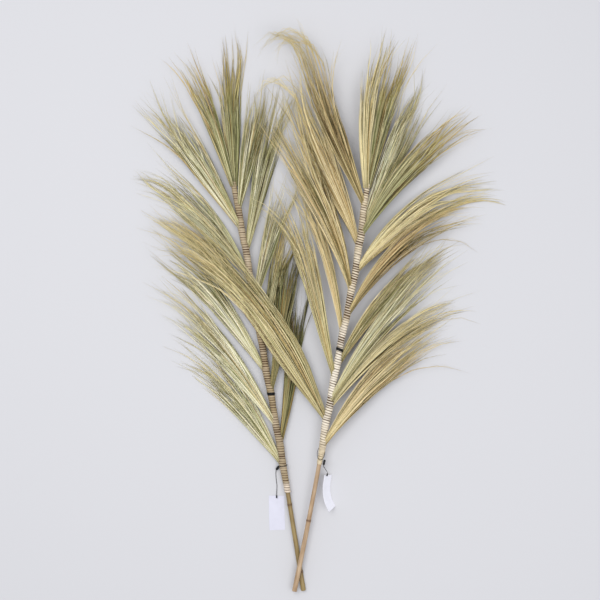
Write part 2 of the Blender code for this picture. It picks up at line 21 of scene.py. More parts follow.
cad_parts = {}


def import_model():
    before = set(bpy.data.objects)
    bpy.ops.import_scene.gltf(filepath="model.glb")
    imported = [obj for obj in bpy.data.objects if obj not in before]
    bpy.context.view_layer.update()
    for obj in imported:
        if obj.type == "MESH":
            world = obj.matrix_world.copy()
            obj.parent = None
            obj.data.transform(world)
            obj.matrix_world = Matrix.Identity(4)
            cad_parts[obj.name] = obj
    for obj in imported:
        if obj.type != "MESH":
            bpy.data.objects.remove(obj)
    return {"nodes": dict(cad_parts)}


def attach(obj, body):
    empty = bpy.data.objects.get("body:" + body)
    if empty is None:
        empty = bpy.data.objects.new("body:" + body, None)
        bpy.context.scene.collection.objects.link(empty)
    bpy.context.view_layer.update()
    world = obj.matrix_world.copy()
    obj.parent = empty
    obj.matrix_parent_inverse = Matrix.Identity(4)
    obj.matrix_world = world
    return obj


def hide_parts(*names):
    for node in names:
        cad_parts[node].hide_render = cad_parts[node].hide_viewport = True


MM = 0.001
BODY = "root"
LOG = logging.getLogger("rayung_grass")

Point = tuple[float, float, float]
Colour = tuple[float, float, float]


def srgb(red: int, green: int, blue: int) -> Colour:
    """Turns a colour as a screen shows it into the linear light that shaders use.

    Args:
        red: 0 to 255.
        green: 0 to 255.
        blue: 0 to 255.

    Returns:
        The linear colour.
    """
    return tuple(((v / 255 + 0.055) / 1.055) ** 2.4 for v in (red, green, blue))


def smooth_step(values: np.ndarray | float) -> np.ndarray | float:
    """Rises smoothly from 0 to 1 as its argument does, and stays level outside that range."""
    held = np.clip(values, 0.0, 1.0)
    return held * held * (3 - 2 * held)


# Shader graphs


class Value:
    """A shader socket that takes part in Python arithmetic by adding Math nodes."""

    def __init__(self, graph: ShaderGraph, socket: bpy.types.NodeSocket) -> None:
        """Wraps a socket of the graph."""
        self.graph = graph
        self.socket = socket

    def _math(self, operation: str, first: Any, second: Any) -> Value:
        """Adds a Math node on two values."""
        node = self.graph.add("ShaderNodeMath", {"operation": operation}, {0: first, 1: second})
        return Value(self.graph, node.outputs[0])

    def __add__(self, other: Value | float) -> Value:
        """self + other"""
        return self._math("ADD", self, other)

    __radd__ = __add__

    def __sub__(self, other: Value | float) -> Value:
        """self - other"""
        return self._math("SUBTRACT", self, other)

    def __rsub__(self, other: Value | float) -> Value:
        """other - self"""
        return self._math("SUBTRACT", other, self)

    def __mul__(self, other: Value | float) -> Value:
        """self * other"""
        return self._math("MULTIPLY", self, other)

    __rmul__ = __mul__

    def __pow__(self, other: Value | float) -> Value:
        """self ** other"""
        return self._math("POWER", self, other)

    def absolute(self) -> Value:
        """The value without its sign."""
        return self._math("ABSOLUTE", self, 0.0)

    def over(self, limit: float) -> Value:
        """1 where the value passes the limit, else 0."""
        return self._math("GREATER_THAN", self, limit)


class ShaderGraph:
    """The node tree of one material, with its Principled shader."""

    def __init__(self, name: str) -> None:
        """Makes the material."""
        self.material = bpy.data.materials.new(name)
        self.material.use_nodes = True
        self.tree = self.material.node_tree
        self.shader = self.tree.nodes["Principled BSDF"]

    def add(self, kind: str, settings: dict[str, Any], sockets: dict[Any, Any]) -> bpy.types.Node:
        """Adds a node.

        Args:
            kind: the node's type.
            settings: its properties, set first. "stops" are a ramp's (position, colour) pairs.
            sockets: values or links by the input's index, identifier or name.

        Returns:
            The node.
        """
        node = self.tree.nodes.new(kind)
        for key, value in settings.items():
            if key == "stops":
                self._set_stops(node.color_ramp, value)
            else:
                setattr(node, key, value)
        for key, value in sockets.items():
            self.set(self._input(node, key), value)
        return node

    def set(self, socket: bpy.types.NodeSocket, value: Any) -> None:
        """Links a socket to a value, or sets its constant."""
        if isinstance(value, Value):
            self.tree.links.new(value.socket, socket)
        elif isinstance(value, tuple) and socket.type == "RGBA":
            socket.default_value = (*value, 1.0)
        else:
            socket.default_value = value

    def dress(self, **sockets: Any) -> bpy.types.Material:
        """Sets the Principled shader's sockets, underscores standing for spaces."""
        for key, value in sockets.items():
            self.set(self.shader.inputs[key.replace("_", " ")], value)
        return self.material

    def attribute(self, name: str, output: str = "Fac") -> Value:
        """Reads an attribute of the mesh."""
        node = self.add("ShaderNodeAttribute", {"attribute_name": name}, {})
        return Value(self, node.outputs[output])

    def place(self) -> Value:
        """The place on the piece, in metres."""
        return Value(self, self.add("ShaderNodeTexCoord", {}, {}).outputs["Object"])

    def stretched(self, vector: Value, scale: Point) -> Value:
        """Scales a vector by its axes."""
        node = self.add("ShaderNodeMapping", {}, {"Vector": vector, "Scale": scale})
        return Value(self, node.outputs[0])

    def noise(self, vector: Value, scale: float, detail: float = 2.0) -> Value:
        """Soft noise from 0 to 1."""
        node = self.add("ShaderNodeTexNoise", {}, {"Vector": vector, "Scale": scale, "Detail": detail})
        return Value(self, node.outputs["Fac"])

    def ramp(self, value: Value, stops: list[tuple[float, Colour]]) -> Value:
        """A colour that follows a value."""
        node = self.add("ShaderNodeValToRGB", {"stops": stops}, {"Fac": value})
        return Value(self, node.outputs["Color"])

    def mix(self, factor: Value | float, first: Any, second: Any, blend: str = "MIX") -> Value:
        """Mixes two colours."""
        settings = {"data_type": "RGBA", "blend_type": blend, "clamp_factor": True}
        sockets = {"Factor_Float": factor, "A_Color": first, "B_Color": second}
        node = self.add("ShaderNodeMix", settings, sockets)
        return Value(self, next(s for s in node.outputs if s.identifier == "Result_Color"))

    def level(self, value: Value, low: float, high: float) -> Value:
        """0 where the value is at low, 1 at high, straight between and level beyond."""
        sockets = {"Value": value, "From Min": low, "From Max": high}
        node = self.add("ShaderNodeMapRange", {"clamp": True}, sockets)
        return Value(self, node.outputs[0])

    def bump(self, height: Value, distance: float, strength: float = 1.0) -> Value:
        """A normal that follows a height."""
        sockets = {"Height": height, "Distance": distance, "Strength": strength}
        return Value(self, self.add("ShaderNodeBump", {}, sockets).outputs["Normal"])

    @staticmethod
    def _input(node: bpy.types.Node, key: int | str) -> bpy.types.NodeSocket:
        """Finds an input by index, identifier or name."""
        if isinstance(key, int):
            return node.inputs[key]
        return next((s for s in node.inputs if s.identifier == key), None) or node.inputs[key]

    @staticmethod
    def _set_stops(ramp: bpy.types.ColorRamp, stops: list[tuple[float, Colour]]) -> None:
        """Gives a ramp its stops."""
        while len(ramp.elements) < len(stops):
            ramp.elements.new(1.0)
        for element, (position, colour) in zip(ramp.elements, stops):
            element.position = position
            element.color = (*colour, 1.0)


# Finishes


@dataclass(frozen=True)
class GrassFinish:
    """Dry straw, whose colour runs from the root to the tip and differs from straw to straw.

    The mesh gives "along" (0 at the root, 1 at the tip), "tint" (0 a dark straw, 1 a light one, with painted
    light:
    lighter on the sheaf's side towards the lamp, darker on the far side) and "hue" (0 a green straw, 1 an amber
    one).
    """

    name: str
    dark: Colour
    body: Colour
    light: Colour
    root: Colour = srgb(202, 186, 128)
    tip: Colour = srgb(232, 217, 160)
    green: Colour = srgb(150, 156, 98)
    amber: Colour = srgb(198, 150, 76)
    greenness: float = 0.5
    roughness: float = 0.6

    def build(self) -> bpy.types.Material:
        """Makes the material."""
        graph = ShaderGraph(self.name)
        along = graph.attribute("along")
        hue = graph.attribute("hue")
        place = graph.place()
        streak = graph.noise(place, 160.0, 2.0)
        shade = graph.attribute("tint") + (streak - 0.5) * 0.25 + graph.level(along, 0.6, 1.1) * 0.15
        gloom = tuple(c * 0.35 for c in self.dark)
        stops = [(0.0, gloom), (0.12, self.dark), (0.45, self.body), (0.95, self.light)]
        colour = graph.ramp(shade, stops)
        greener = graph.level(hue, 0.5, 0.1) * graph.level(along, 1.0, 0.55) * self.greenness
        colour = graph.mix(greener, colour, self.green)
        colour = graph.mix(graph.level(hue, 0.78, 1.0) * 0.45, colour, self.amber)
        colour = graph.mix(graph.level(along, 0.3, 0.0) * 0.25, colour, self.root)
        colour = graph.mix(graph.level(along, 0.45, 0.95) * 0.66, colour, self.tip)
        return graph.dress(
            Base_Color=colour,
            Roughness=self.roughness,
            Specular_IOR_Level=0.3,
            Normal=graph.bump(streak, 0.2 * MM, 0.3),
        )


@dataclass(frozen=True)
class WindingFinish:
    """The wound strip of plant fibre: finely grained, each turn a little unlike the next.

    The mesh gives "strip" (metres along the strip, -1 to 1 over its width, 0), "tint" (0 to 1,
    changing from turn to turn) and "pale" (0 tan to 1 cream, by the place on the stem).
    """

    name: str
    tan: Colour = srgb(190, 170, 136)
    cream: Colour = srgb(232, 218, 198)
    brown: Colour = srgb(98, 68, 42)

    def build(self) -> bpy.types.Material:
        """Makes the material."""
        graph = ShaderGraph(self.name)
        strip = graph.attribute("strip", "Vector")
        tint = graph.attribute("tint")
        pale = graph.attribute("pale")
        edge = graph.attribute("edge")
        grain = graph.noise(graph.stretched(strip, (60.0, 9.0, 1.0)), 1.0, 4.0)
        stain = graph.noise(graph.stretched(strip, (90.0, 1.0, 1.0)), 1.0, 3.0)
        colour = graph.mix(pale, self.tan, self.cream)
        colour = graph.mix((tint - 0.5) * 0.9 + (stain - 0.5) * 0.9, colour, self.brown)
        colour = graph.mix((grain - 0.45) * 0.9, colour, self.brown)
        # Painted shade: darker towards the strip's edges, where the turns meet.
        colour = graph.mix(edge ** 3.0 * 0.75, colour, self.brown)
        return graph.dress(
            Base_Color=colour,
            Roughness=(1.0 - grain) * 0.25 + 0.45,
            Specular_IOR_Level=0.35,
            Normal=graph.bump(grain, 0.5 * MM, 0.6),
        )


@dataclass(frozen=True)
class BedFinish:
    """The bed of straw ends that shows between the turns, coloured dark as painted shade in the gaps."""

    name: str = "winding_bed"
    dark: Colour = srgb(52, 34, 20)
    light: Colour = srgb(110, 84, 54)

    def build(self) -> bpy.types.Material:
        """Makes the material."""
        graph = ShaderGraph(self.name)
        mottle = graph.noise(graph.place(), 300.0, 3.0)
        return graph.dress(Base_Color=graph.mix(mottle, self.dark, self.light), Roughness=0.85)


@dataclass(frozen=True)
class CaneFinish:
    """Smooth dry cane with long grain, blotches and darker knots.

    The mesh gives "skin" (metres round the cane, metres along it, 0) and "knot" (1 on a knot).
    """

    name: str
    skin: Colour
    shade: Colour
    knot: Colour = srgb(88, 58, 34)

    def build(self) -> bpy.types.Material:
        """Makes the material."""
        graph = ShaderGraph(self.name)
        skin = graph.attribute("skin", "Vector")
        grain = graph.noise(graph.stretched(skin, (900.0, 14.0, 1.0)), 1.0, 4.0)
        blotch = graph.noise(graph.stretched(skin, (60.0, 22.0, 1.0)), 1.0, 3.0)
        colour = graph.mix((blotch - 0.36) * 2.2, self.skin, self.shade)
        colour = graph.mix((grain - 0.42) * 1.6, colour, self.knot)
        colour = graph.mix(graph.attribute("knot") * 0.85, colour, self.knot)
        return graph.dress(
            Base_Color=colour,
            Roughness=blotch * 0.25 + 0.33,
            Specular_IOR_Level=0.45,
            Normal=graph.bump(grain, 0.25 * MM, 0.5),
        )


@dataclass(frozen=True)
class BlackFinish:
    """Black plastic or cord with a fine unevenness."""

    name: str
    roughness: float
    colour: Colour = srgb(10, 10, 11)
    worn: Colour = srgb(34, 32, 33)

    def build(self) -> bpy.types.Material:
        """Makes the material."""
        graph = ShaderGraph(self.name)
        wear = graph.noise(graph.place(), 900.0, 3.0)
        return graph.dress(
            Base_Color=graph.mix(wear, self.colour, self.worn),
            Roughness=wear * 0.2 + self.roughness,
            Specular_IOR_Level=0.25,
            Normal=graph.bump(wear, 0.1 * MM, 0.5),
        )


@dataclass(frozen=True)
class CardFinish:
    """Smooth white card, blank, with the faintest fibre and soiling."""

    name: str = "tag_card"
    # The default white is greyed: painted shade.
    white: Colour = srgb(206, 206, 219)
    soiled: Colour = srgb(190, 189, 201)

    def build(self) -> bpy.types.Material:
        """Makes the material."""
        graph = ShaderGraph(self.name)
        place = graph.place()
        soil = graph.noise(place, 45.0, 4.0)
        fibre = graph.noise(place, 1400.0, 2.0)
        return graph.dress(
            Base_Color=graph.mix((soil - 0.35) * 0.9, self.white, self.soiled),
            Roughness=soil * 0.2 + 0.35,
            Normal=graph.bump(fibre, 0.05 * MM, 0.4),
        )


@dataclass(frozen=True)
class FloorFinish:
    """A plain pale floor."""

    name: str = "pale_floor"
    colour: Colour = srgb(200, 200, 203)

    def build(self) -> bpy.types.Material:
        """Makes the material."""
        graph = ShaderGraph(self.name)
        return graph.dress(Base_Color=self.colour, Roughness=0.9, Specular_IOR_Level=0.1)


class Tone(Enum):
    """The colourings of a sheaf."""

    OLIVE = GrassFinish(
        "olive_grass",
        srgb(88, 84, 44),
        srgb(154, 149, 102),
        srgb(224, 216, 172),
        root=srgb(140, 138, 92),
        tip=srgb(238, 207, 120),
    )
    GREEN = GrassFinish("green_grass", srgb(112, 106, 60), srgb(203, 197, 150), srgb(250, 244, 218))
    PALE = GrassFinish("pale_grass", srgb(134, 127, 82), srgb(225, 219, 173), srgb(255, 251, 230))
    STRAW = GrassFinish("straw_grass", srgb(130, 112, 62), srgb(229, 213, 159), srgb(252, 240, 200), greenness=0.3)
    GOLD = GrassFinish("golden_grass", srgb(120, 98, 50), srgb(209, 188, 136), srgb(248, 232, 190), greenness=0.2)
    BROWN = GrassFinish("brown_grass", srgb(90, 72, 36), srgb(174, 150, 102), srgb(230, 208, 160), greenness=0.2)
    # Painted shade: a sheaf that lies under others, darker all over and darkest towards its tips.
    SHADED = GrassFinish(
        "shaded_grass", srgb(58, 55, 28), srgb(108, 102, 62), srgb(176, 167, 120), tip=srgb(66, 62, 30)
    )
    # Painted shade: darker olive towards the root.
    CROSSING = GrassFinish(
        "crossing_grass", srgb(98, 84, 42), srgb(205, 187, 132), srgb(250, 235, 192), root=srgb(146, 132, 88)
    )


# Meshes


def array_of(mesh: bpy.types.Mesh) -> np.ndarray:
    """The mesh's points as an array of rows."""
    flat = np.empty(len(mesh.vertices) * 3, np.float32)
    mesh.vertices.foreach_get("co", flat)
    return flat.reshape(-1, 3).astype(float)


def move_points(mesh: bpy.types.Mesh, points: np.ndarray) -> None:
    """Puts the mesh's points where the rows of an array say."""
    mesh.vertices.foreach_set("co", points.astype(np.float32).ravel())
    mesh.update()


def mark(mesh: bpy.types.Mesh, name: str, values: np.ndarray) -> None:
    """Stores a number, or a vector where the values have rows, on each point."""
    kind, field = ("FLOAT_VECTOR", "vector") if values.ndim == 2 else ("FLOAT", "value")
    mesh.attributes.new(name, kind, "POINT").data.foreach_set(field, values.astype(np.float32).ravel())


def mesh_from(bm: bmesh.types.BMesh, name: str) -> bpy.types.Mesh:
    """Turns a bmesh into a mesh with its faces outwards, and frees it."""
    bmesh.ops.recalc_face_normals(bm, faces=bm.faces)
    mesh = bpy.data.meshes.new(name)
    bm.to_mesh(mesh)
    bm.free()
    return mesh


def evaluated(mesh: bpy.types.Mesh, kind: str, **settings: Any) -> bpy.types.Mesh:
    """Puts one modifier on a mesh and applies it.

    Args:
        mesh: what it works on. It is used up.
        kind: the modifier's type.
        settings: its properties.

    Returns:
        The new mesh.
    """
    helper = bpy.data.objects.new("helper", mesh)
    bpy.context.scene.collection.objects.link(helper)
    modifier = helper.modifiers.new("shape", kind)
    for key, value in settings.items():
        setattr(modifier, key, value)
    graph = bpy.context.evaluated_depsgraph_get()
    made = bpy.data.meshes.new_from_object(helper.evaluated_get(graph))
    bpy.data.objects.remove(helper)
    bpy.data.meshes.remove(mesh)
    return made


def straight_tube(sides: int, stations: list[float]) -> bmesh.types.BMesh:
    """A closed tube of radius 1 along Z with a ring at every station."""
    bm = bmesh.new()
    low, high = stations[0], stations[-1]
    bmesh.ops.create_cone(bm, cap_ends=True, segments=sides, radius1=1, radius2=1, depth=high - low)
    bmesh.ops.translate(bm, verts=bm.verts, vec=(0, 0, (low + high) / 2))
    for station in stations[1:-1]:
        geometry = [*bm.verts, *bm.edges, *bm.faces]
        bmesh.ops.bisect_plane(bm, geom=geometry, dist=1e-7, plane_co=(0, 0, station), plane_no=(0, 0, 1))
    return bm


def add_piece(name: str, mesh: bpy.types.Mesh, material: bpy.types.Material, *nodes: str) -> bpy.types.Object:
    """Adds a finished piece that rides on the bundle.

    Args:
        name: the piece's name.
        mesh: its mesh, in place.
        material: its finish.
        nodes: the CAD nodes that it stands for.

    Returns:
        The piece.
    """
    mesh.materials.clear()
    mesh.materials.append(material)
    mesh.shade_smooth()
    piece = bpy.data.objects.new(name, mesh)
    bpy.context.scene.collection.objects.link(piece)
    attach(piece, BODY)
    if nodes:
        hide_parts(*nodes)
    LOG.info("%s: %d faces", name, len(mesh.polygons))
    return piece


# Stems


@dataclass(frozen=True)
class StemLine:
    """The smooth middle line of a stem, from its foot to its tip."""

    route: tuple[Point, ...]

    def _line(self) -> np.ndarray:
        """Points along the curve through the route, by the Catmull-Rom rule."""
        return smooth_line(self.route, 8)

    def frames(self, stations: np.ndarray) -> tuple[np.ndarray, np.ndarray, np.ndarray, np.ndarray]:
        """The line's frame at some stations, which are Y coordinates.

        Returns:
            The centres, and the unit vectors along, across to the right, and above.
        """
        line = self._line()

        def at(where: np.ndarray) -> np.ndarray:
            return np.stack([np.interp(where, line[:, 1], line[:, k]) for k in range(3)], axis=-1)

        along = at(stations + 10 * MM) - at(stations - 10 * MM)
        along /= np.linalg.norm(along, axis=-1, keepdims=True)
        across = np.cross(along, (0.0, 0.0, 1.0))
        across /= np.linalg.norm(across, axis=-1, keepdims=True)
        centres = at(stations)
        slope = along[..., 0] / along[..., 1]
        centres[..., 0] += (stations - centres[..., 1]) * slope
        centres[..., 1] = stations
        return centres, along, across, np.cross(across, along)

    def bend(self, stations: np.ndarray, angles: np.ndarray, radii: np.ndarray) -> np.ndarray:
        """Points round the line. Angle 0 is to the right, and a quarter turn is above."""
        centres, _, across, above = self.frames(stations)
        out = np.cos(angles)[..., None] * across + np.sin(angles)[..., None] * above
        return centres + radii[..., None] * out


def smooth_line(route: tuple[Point, ...], steps: int) -> np.ndarray:
    """Points along a smooth curve through a route.

    Args:
        route: the points that it passes.
        steps: how many pieces each stretch has.

    Returns:
        The points, one to a row.
    """
    given = [np.array(p) for p in route]
    given = [2 * given[0] - given[1], *given, 2 * given[-1] - given[-2]]
    points = []
    for a, b, c, d in zip(given, given[1:], given[2:], given[3:]):
        for k in range(steps):
            t = k / steps
            bend = (2 * a - 5 * b + 4 * c - d) * t * t + (3 * b - a - 3 * c + d) * t**3
            points.append(0.5 * (2 * b + (c - a) * t + bend))
    points.append(given[-2])
    return np.array(points)


@dataclass(frozen=True)
class Joint:
    """Where a sheaf leaves the winding."""

    station: float
    angle: float


@dataclass
class Stem:
    """One cane with the winding that binds the sheaves to it."""

    name: str
    line: StemLine
    winding_foot: float
    winding_tip: float
    knots: tuple[float, ...]
    band: float
    cane_finish: CaneFinish
    winding_finish: WindingFinish
    pale_at: tuple[tuple[float, float], ...]
    seed: int

    cane_foot_radius: float = 5.5 * MM
    cane_tip_radius: float = 3.8 * MM
    cane_sides: int = 32
    ring_spacing: float = 12 * MM
    knot_swell: float = 0.9 * MM
    knot_reach: float = 3.2 * MM
    end_wall: float = 1.9 * MM
    end_depth: float = 7 * MM

    winding_radius: float = 7.5 * MM
    winding_foot_radius: float = 7.3 * MM
    winding_tip_radius: float = 6.6 * MM
    sheath: float = 0.0
    sheath_radius: float = 5.9 * MM
    bulge: float = 2.6 * MM
    bulge_rise: float = 7 * MM
    bulge_fall: float = 75 * MM
    pitch: float = 5.6 * MM
    strip_thickness: float = 1.3 * MM
    steps_per_turn: int = 14
    seat_depth: float = 1.6 * MM
    bed_sides: int = 24
    bed_spacing: float = 4 * MM
    bed_depth: float = 0.75 * MM

    band_width: float = 6.8 * MM
    band_thickness: float = 0.7 * MM
    band_sides: int = 40

    def cane_radius(self, stations: np.ndarray) -> np.ndarray:
        """The cane's radius, with its knots: a swelling with a groove in it."""
        foot = self.line.route[0][1]
        share = (stations - foot) / (self.line.route[-1][1] - foot)
        radius = self.cane_foot_radius + (self.cane_tip_radius - self.cane_foot_radius) * share
        for knot in self.knots:
            away = (stations - knot) / self.knot_reach
            radius += self.knot_swell * np.exp(-away * away)
            radius -= 0.7 * self.knot_swell * np.exp(-36 * away * away)
        return radius

    def sheathed(self, stations: np.ndarray) -> np.ndarray:
        """1 at the winding's foot, where the strip lies flat as a sheath, and 0 above it."""
        if not self.sheath:
            return np.zeros_like(stations)
        return 1 - smooth_step((stations - self.winding_foot) / self.sheath - 0.15)

    def winding_surface(self, stations: np.ndarray, angles: np.ndarray, joints: list[Joint]) -> np.ndarray:
        """The radius of the winding's outside, with a bulge below each joint on the joint's side."""
        foot, tip = self.winding_foot, self.winding_tip
        swell = smooth_step((stations - foot) / (60 * MM))
        radius = self.winding_foot_radius + (self.winding_radius - self.winding_foot_radius) * swell
        thin = smooth_step((stations - tip + 0.22) / 0.22)
        radius = radius + (self.winding_tip_radius - self.winding_radius) * thin
        radius = radius + (self.sheath_radius - radius) * self.sheathed(stations)
        for joint in joints:
            below = joint.station - stations
            rise = smooth_step(below / self.bulge_rise + 0.5)
            fall = 1 - smooth_step(below / self.bulge_fall)
            side = np.maximum(0.0, np.cos(angles - joint.angle)) ** 1.5
            radius = radius + self.bulge * rise * fall * side
        return radius

    def seat_radius(self, station: float) -> float:
        """How far from the middle line a sheaf's neck starts, as on the CAD."""
        swell = smooth_step((station - self.winding_foot) / (50 * MM))
        thin = smooth_step((station - self.winding_tip + 0.25) / 0.25)
        return 8.6 * MM + 1.0 * MM * swell - 1.2 * MM * thin - self.seat_depth

    def build(self, joints: list[Joint], black: bpy.types.Material, bed: bpy.types.Material) -> None:
        """Adds the cane, the winding, its bed and the marker band."""
        self._add_cane()
        self._add_winding(joints)
        self._add_bed(joints, bed)
        self._add_band(joints, black)

    def _add_cane(self) -> None:
        """The cane: a long tube with knots and a hollow, cut foot."""
        foot = self.line.route[0][1]
        tip = self.winding_tip - 12 * MM
        even = np.arange(foot, tip, self.ring_spacing)
        knots = [k + d * self.knot_reach / 4 for k in self.knots for d in range(-9, 10)]
        stations = sorted({*even.tolist(), *knots, foot + 1 * MM, tip})
        bm = straight_tube(self.cane_sides, stations)
        end = [f for f in bm.faces if f.normal.z < -0.9]
        rim = self.end_wall / self.cane_foot_radius
        bmesh.ops.inset_region(bm, faces=end, thickness=rim, use_even_offset=True)
        inner = bmesh.ops.extrude_face_region(bm, geom=end)["geom"]
        pushed = [v for v in inner if isinstance(v, bmesh.types.BMVert)]
        bmesh.ops.translate(bm, verts=pushed, vec=(0, 0, self.end_depth))
        bmesh.ops.delete(bm, geom=end, context="FACES")
        mesh = mesh_from(bm, f"{self.name}_bare_cane")
        local = array_of(mesh)
        angles = np.arctan2(local[:, 1], local[:, 0])
        reach = np.hypot(local[:, 0], local[:, 1])
        stations = local[:, 2]
        oval = 1 + 0.025 * np.cos(2 * angles + stations * 9)
        radii = self.cane_radius(stations) * oval * reach
        bevelled = np.abs(stations - foot) < 1e-5
        radii[bevelled & (reach > 0.9)] -= 0.4 * MM
        points = self.line.bend(stations, angles, radii)
        points[:, 2] = np.maximum(points[:, 2], 0.0)
        move_points(mesh, points)
        around = angles * self.cane_foot_radius
        mark(mesh, "skin", np.stack([around, stations, np.full_like(around, self.seed)], axis=1))
        away = np.min([np.abs(stations - k) for k in self.knots], axis=0) / self.knot_reach
        mark(mesh, "knot", np.exp(-1.6 * away * away))
        add_piece(f"{self.name}_bare_cane", mesh, self.cane_finish.build(), f"{self.name}_cane")

    def _add_winding(self, joints: list[Joint]) -> None:
        """The wound strip: its section, swept by a screw and then bent onto the stem."""
        turns = int((self.winding_tip - self.winding_foot) / self.pitch)
        bm = bmesh.new()
        section = bmesh.ops.create_circle(bm, segments=8, radius=0.5)["verts"]
        bmesh.ops.rotate(bm, verts=section, cent=(0, 0, 0), matrix=QUARTER_ABOUT_X)
        bmesh.ops.translate(bm, verts=section, vec=(2, 0, 0))
        profile = mesh_from(bm, "section")
        flat = array_of(profile)
        width_share, height_share = flat[:, 2] * 2, (flat[:, 0] - 2) * 2
        mesh = evaluated(
            profile,
            "SCREW",
            axis="Z",
            screw_offset=self.pitch,
            iterations=turns,
            steps=self.steps_per_turn,
            render_steps=self.steps_per_turn,
            use_merge_vertices=False,
        )
        count = len(mesh.vertices) // len(flat)
        turn = np.repeat(np.arange(count) / self.steps_per_turn, len(flat))
        width_share, height_share = np.tile(width_share, count), np.tile(height_share, count)
        rng = np.random.default_rng(self.seed)

        def wander(each: float) -> np.ndarray:
            """A smooth random run along the strip, with new values some turns apart."""
            knots = np.arange(0, turns + 3, each)
            return np.interp(turn, knots, rng.uniform(-1, 1, len(knots)))

        gappy = np.clip(0.35 + 1.1 * wander(3.0), 0, 1)
        width = self.pitch * (0.98 - 0.5 * gappy**2 + 0.1 * wander(0.5))
        drift = self.pitch * (0.1 * wander(1.0) + 0.06 * wander(0.25))
        lift = 0.3 * MM * wander(0.5)
        stations = self.winding_foot + self.pitch * (turn / turns * (turns - 0.96) + 0.48) + drift
        width = width * (1 + 0.7 * self.sheathed(stations))
        stations = stations + width * 0.5 * width_share
        stations = np.clip(stations, self.winding_foot, self.winding_tip)
        angles = 2 * math.pi * turn
        relief = 1 - self.sheathed(stations)
        radii = self.winding_surface(stations, angles, joints) + lift * relief
        crown = height_share * (1 - 0.35 * relief * width_share**2)
        radii = radii + self.strip_thickness * 0.5 * (crown - 1) + 0.1 * MM * (1 - relief) * width_share
        move_points(mesh, self.line.bend(stations, angles, radii))
        mesh = self._cap(mesh)
        run = turn * 2 * math.pi * self.winding_radius
        mark(mesh, "strip", np.stack([run, width_share, np.full_like(run, self.seed)], axis=1))
        mark(mesh, "tint", 0.5 + (0.3 * wander(1.0) + 0.2 * wander(0.3)) * relief)
        # Painted shade mask: 0 in the strip's middle, 1 at its edges.
        mark(mesh, "edge", np.abs(width_share) * relief)
        at, paleness = zip(*self.pale_at)
        mark(mesh, "pale", np.clip(np.interp(stations, at, paleness) + 0.15 * wander(2.0), 0, 1))
        add_piece(f"{self.name}_wound_strip", mesh, self.winding_finish.build(), f"{self.name}_winding")

    @staticmethod
    def _cap(mesh: bpy.types.Mesh) -> bpy.types.Mesh:
        """Closes a swept tube's two ends."""
        bm = bmesh.new()
        bm.from_mesh(mesh)
        bmesh.ops.holes_fill(bm, edges=[e for e in bm.edges if e.is_boundary])
        bpy.data.meshes.remove(mesh)
        return mesh_from(bm, "strip")

    def _add_bed(self, joints: list[Joint], finish: bpy.types.Material) -> None:
        """The straw ends under the strip, which close the winding where turns part, in a dark finish that paints
        the shade in the gaps.
        """
        foot, tip = self.winding_foot + 1 * MM, self.winding_tip - 7 * MM
        bm = straight_tube(self.bed_sides, np.arange(foot, tip, self.bed_spacing).tolist() + [tip])
        mesh = mesh_from(bm, f"{self.name}_winding_bed")
        local = array_of(mesh)
        angles, stations = np.arctan2(local[:, 1], local[:, 0]), local[:, 2]
        radii = self.winding_surface(stations, angles, joints) - self.bed_depth
        move_points(mesh, self.line.bend(stations, angles, radii * np.hypot(local[:, 0], local[:, 1])))
        add_piece(mesh.name, mesh, finish)

    def _add_band(self, joints: list[Joint], black: bpy.types.Material) -> None:
        """A turn of black tape, which slants as the strip's turns do."""
        edges = [self.band + self.band_width * share for share in (-0.5, -0.42, -0.2, 0.2, 0.42, 0.5)]
        bm = straight_tube(self.band_sides, edges)
        bmesh.ops.delete(bm, geom=[f for f in bm.faces if abs(f.normal.z) > 0.9], context="FACES_ONLY")
        mesh = mesh_from(bm, f"{self.name}_black_tape")
        mesh = evaluated(mesh, "SOLIDIFY", thickness=0.08, offset=-1.0)
        mesh.name = f"{self.name}_black_tape"
        local = array_of(mesh)
        angles, stations = np.arctan2(local[:, 1], local[:, 0]), local[:, 2]
        reach = np.hypot(local[:, 0], local[:, 1]) - 1
        radii = self.winding_surface(stations, angles, joints) + self.band_thickness + reach * 12 * MM
        slant = -0.25 * self.pitch * np.cos(angles)
        crown = 1 - 0.12 * np.abs(stations - self.band) / self.band_width
        move_points(mesh, self.line.bend(stations + slant, angles, radii * crown))
        add_piece(mesh.name, mesh, black, f"{self.name}_marker_band")


# Sheaves


@dataclass(frozen=True)
class Habit:
    """How a sheaf grows.

    Attributes:
        hooked: the share of its strands that end in a hook, below 0 for a hook to the left.
        open_at: the share of its length at which it has its full spread.
        neck: half its width and half its thickness at the root.
        offset: how far its root is from the middle of the stem's tip, sideways and upwards.
    """

    hooked: float = 0.0
    open_at: float = 0.68
    neck: tuple[float, float] = (3.6 * MM, 2.6 * MM)
    offset: tuple[float, float] = (0.0, 0.0)


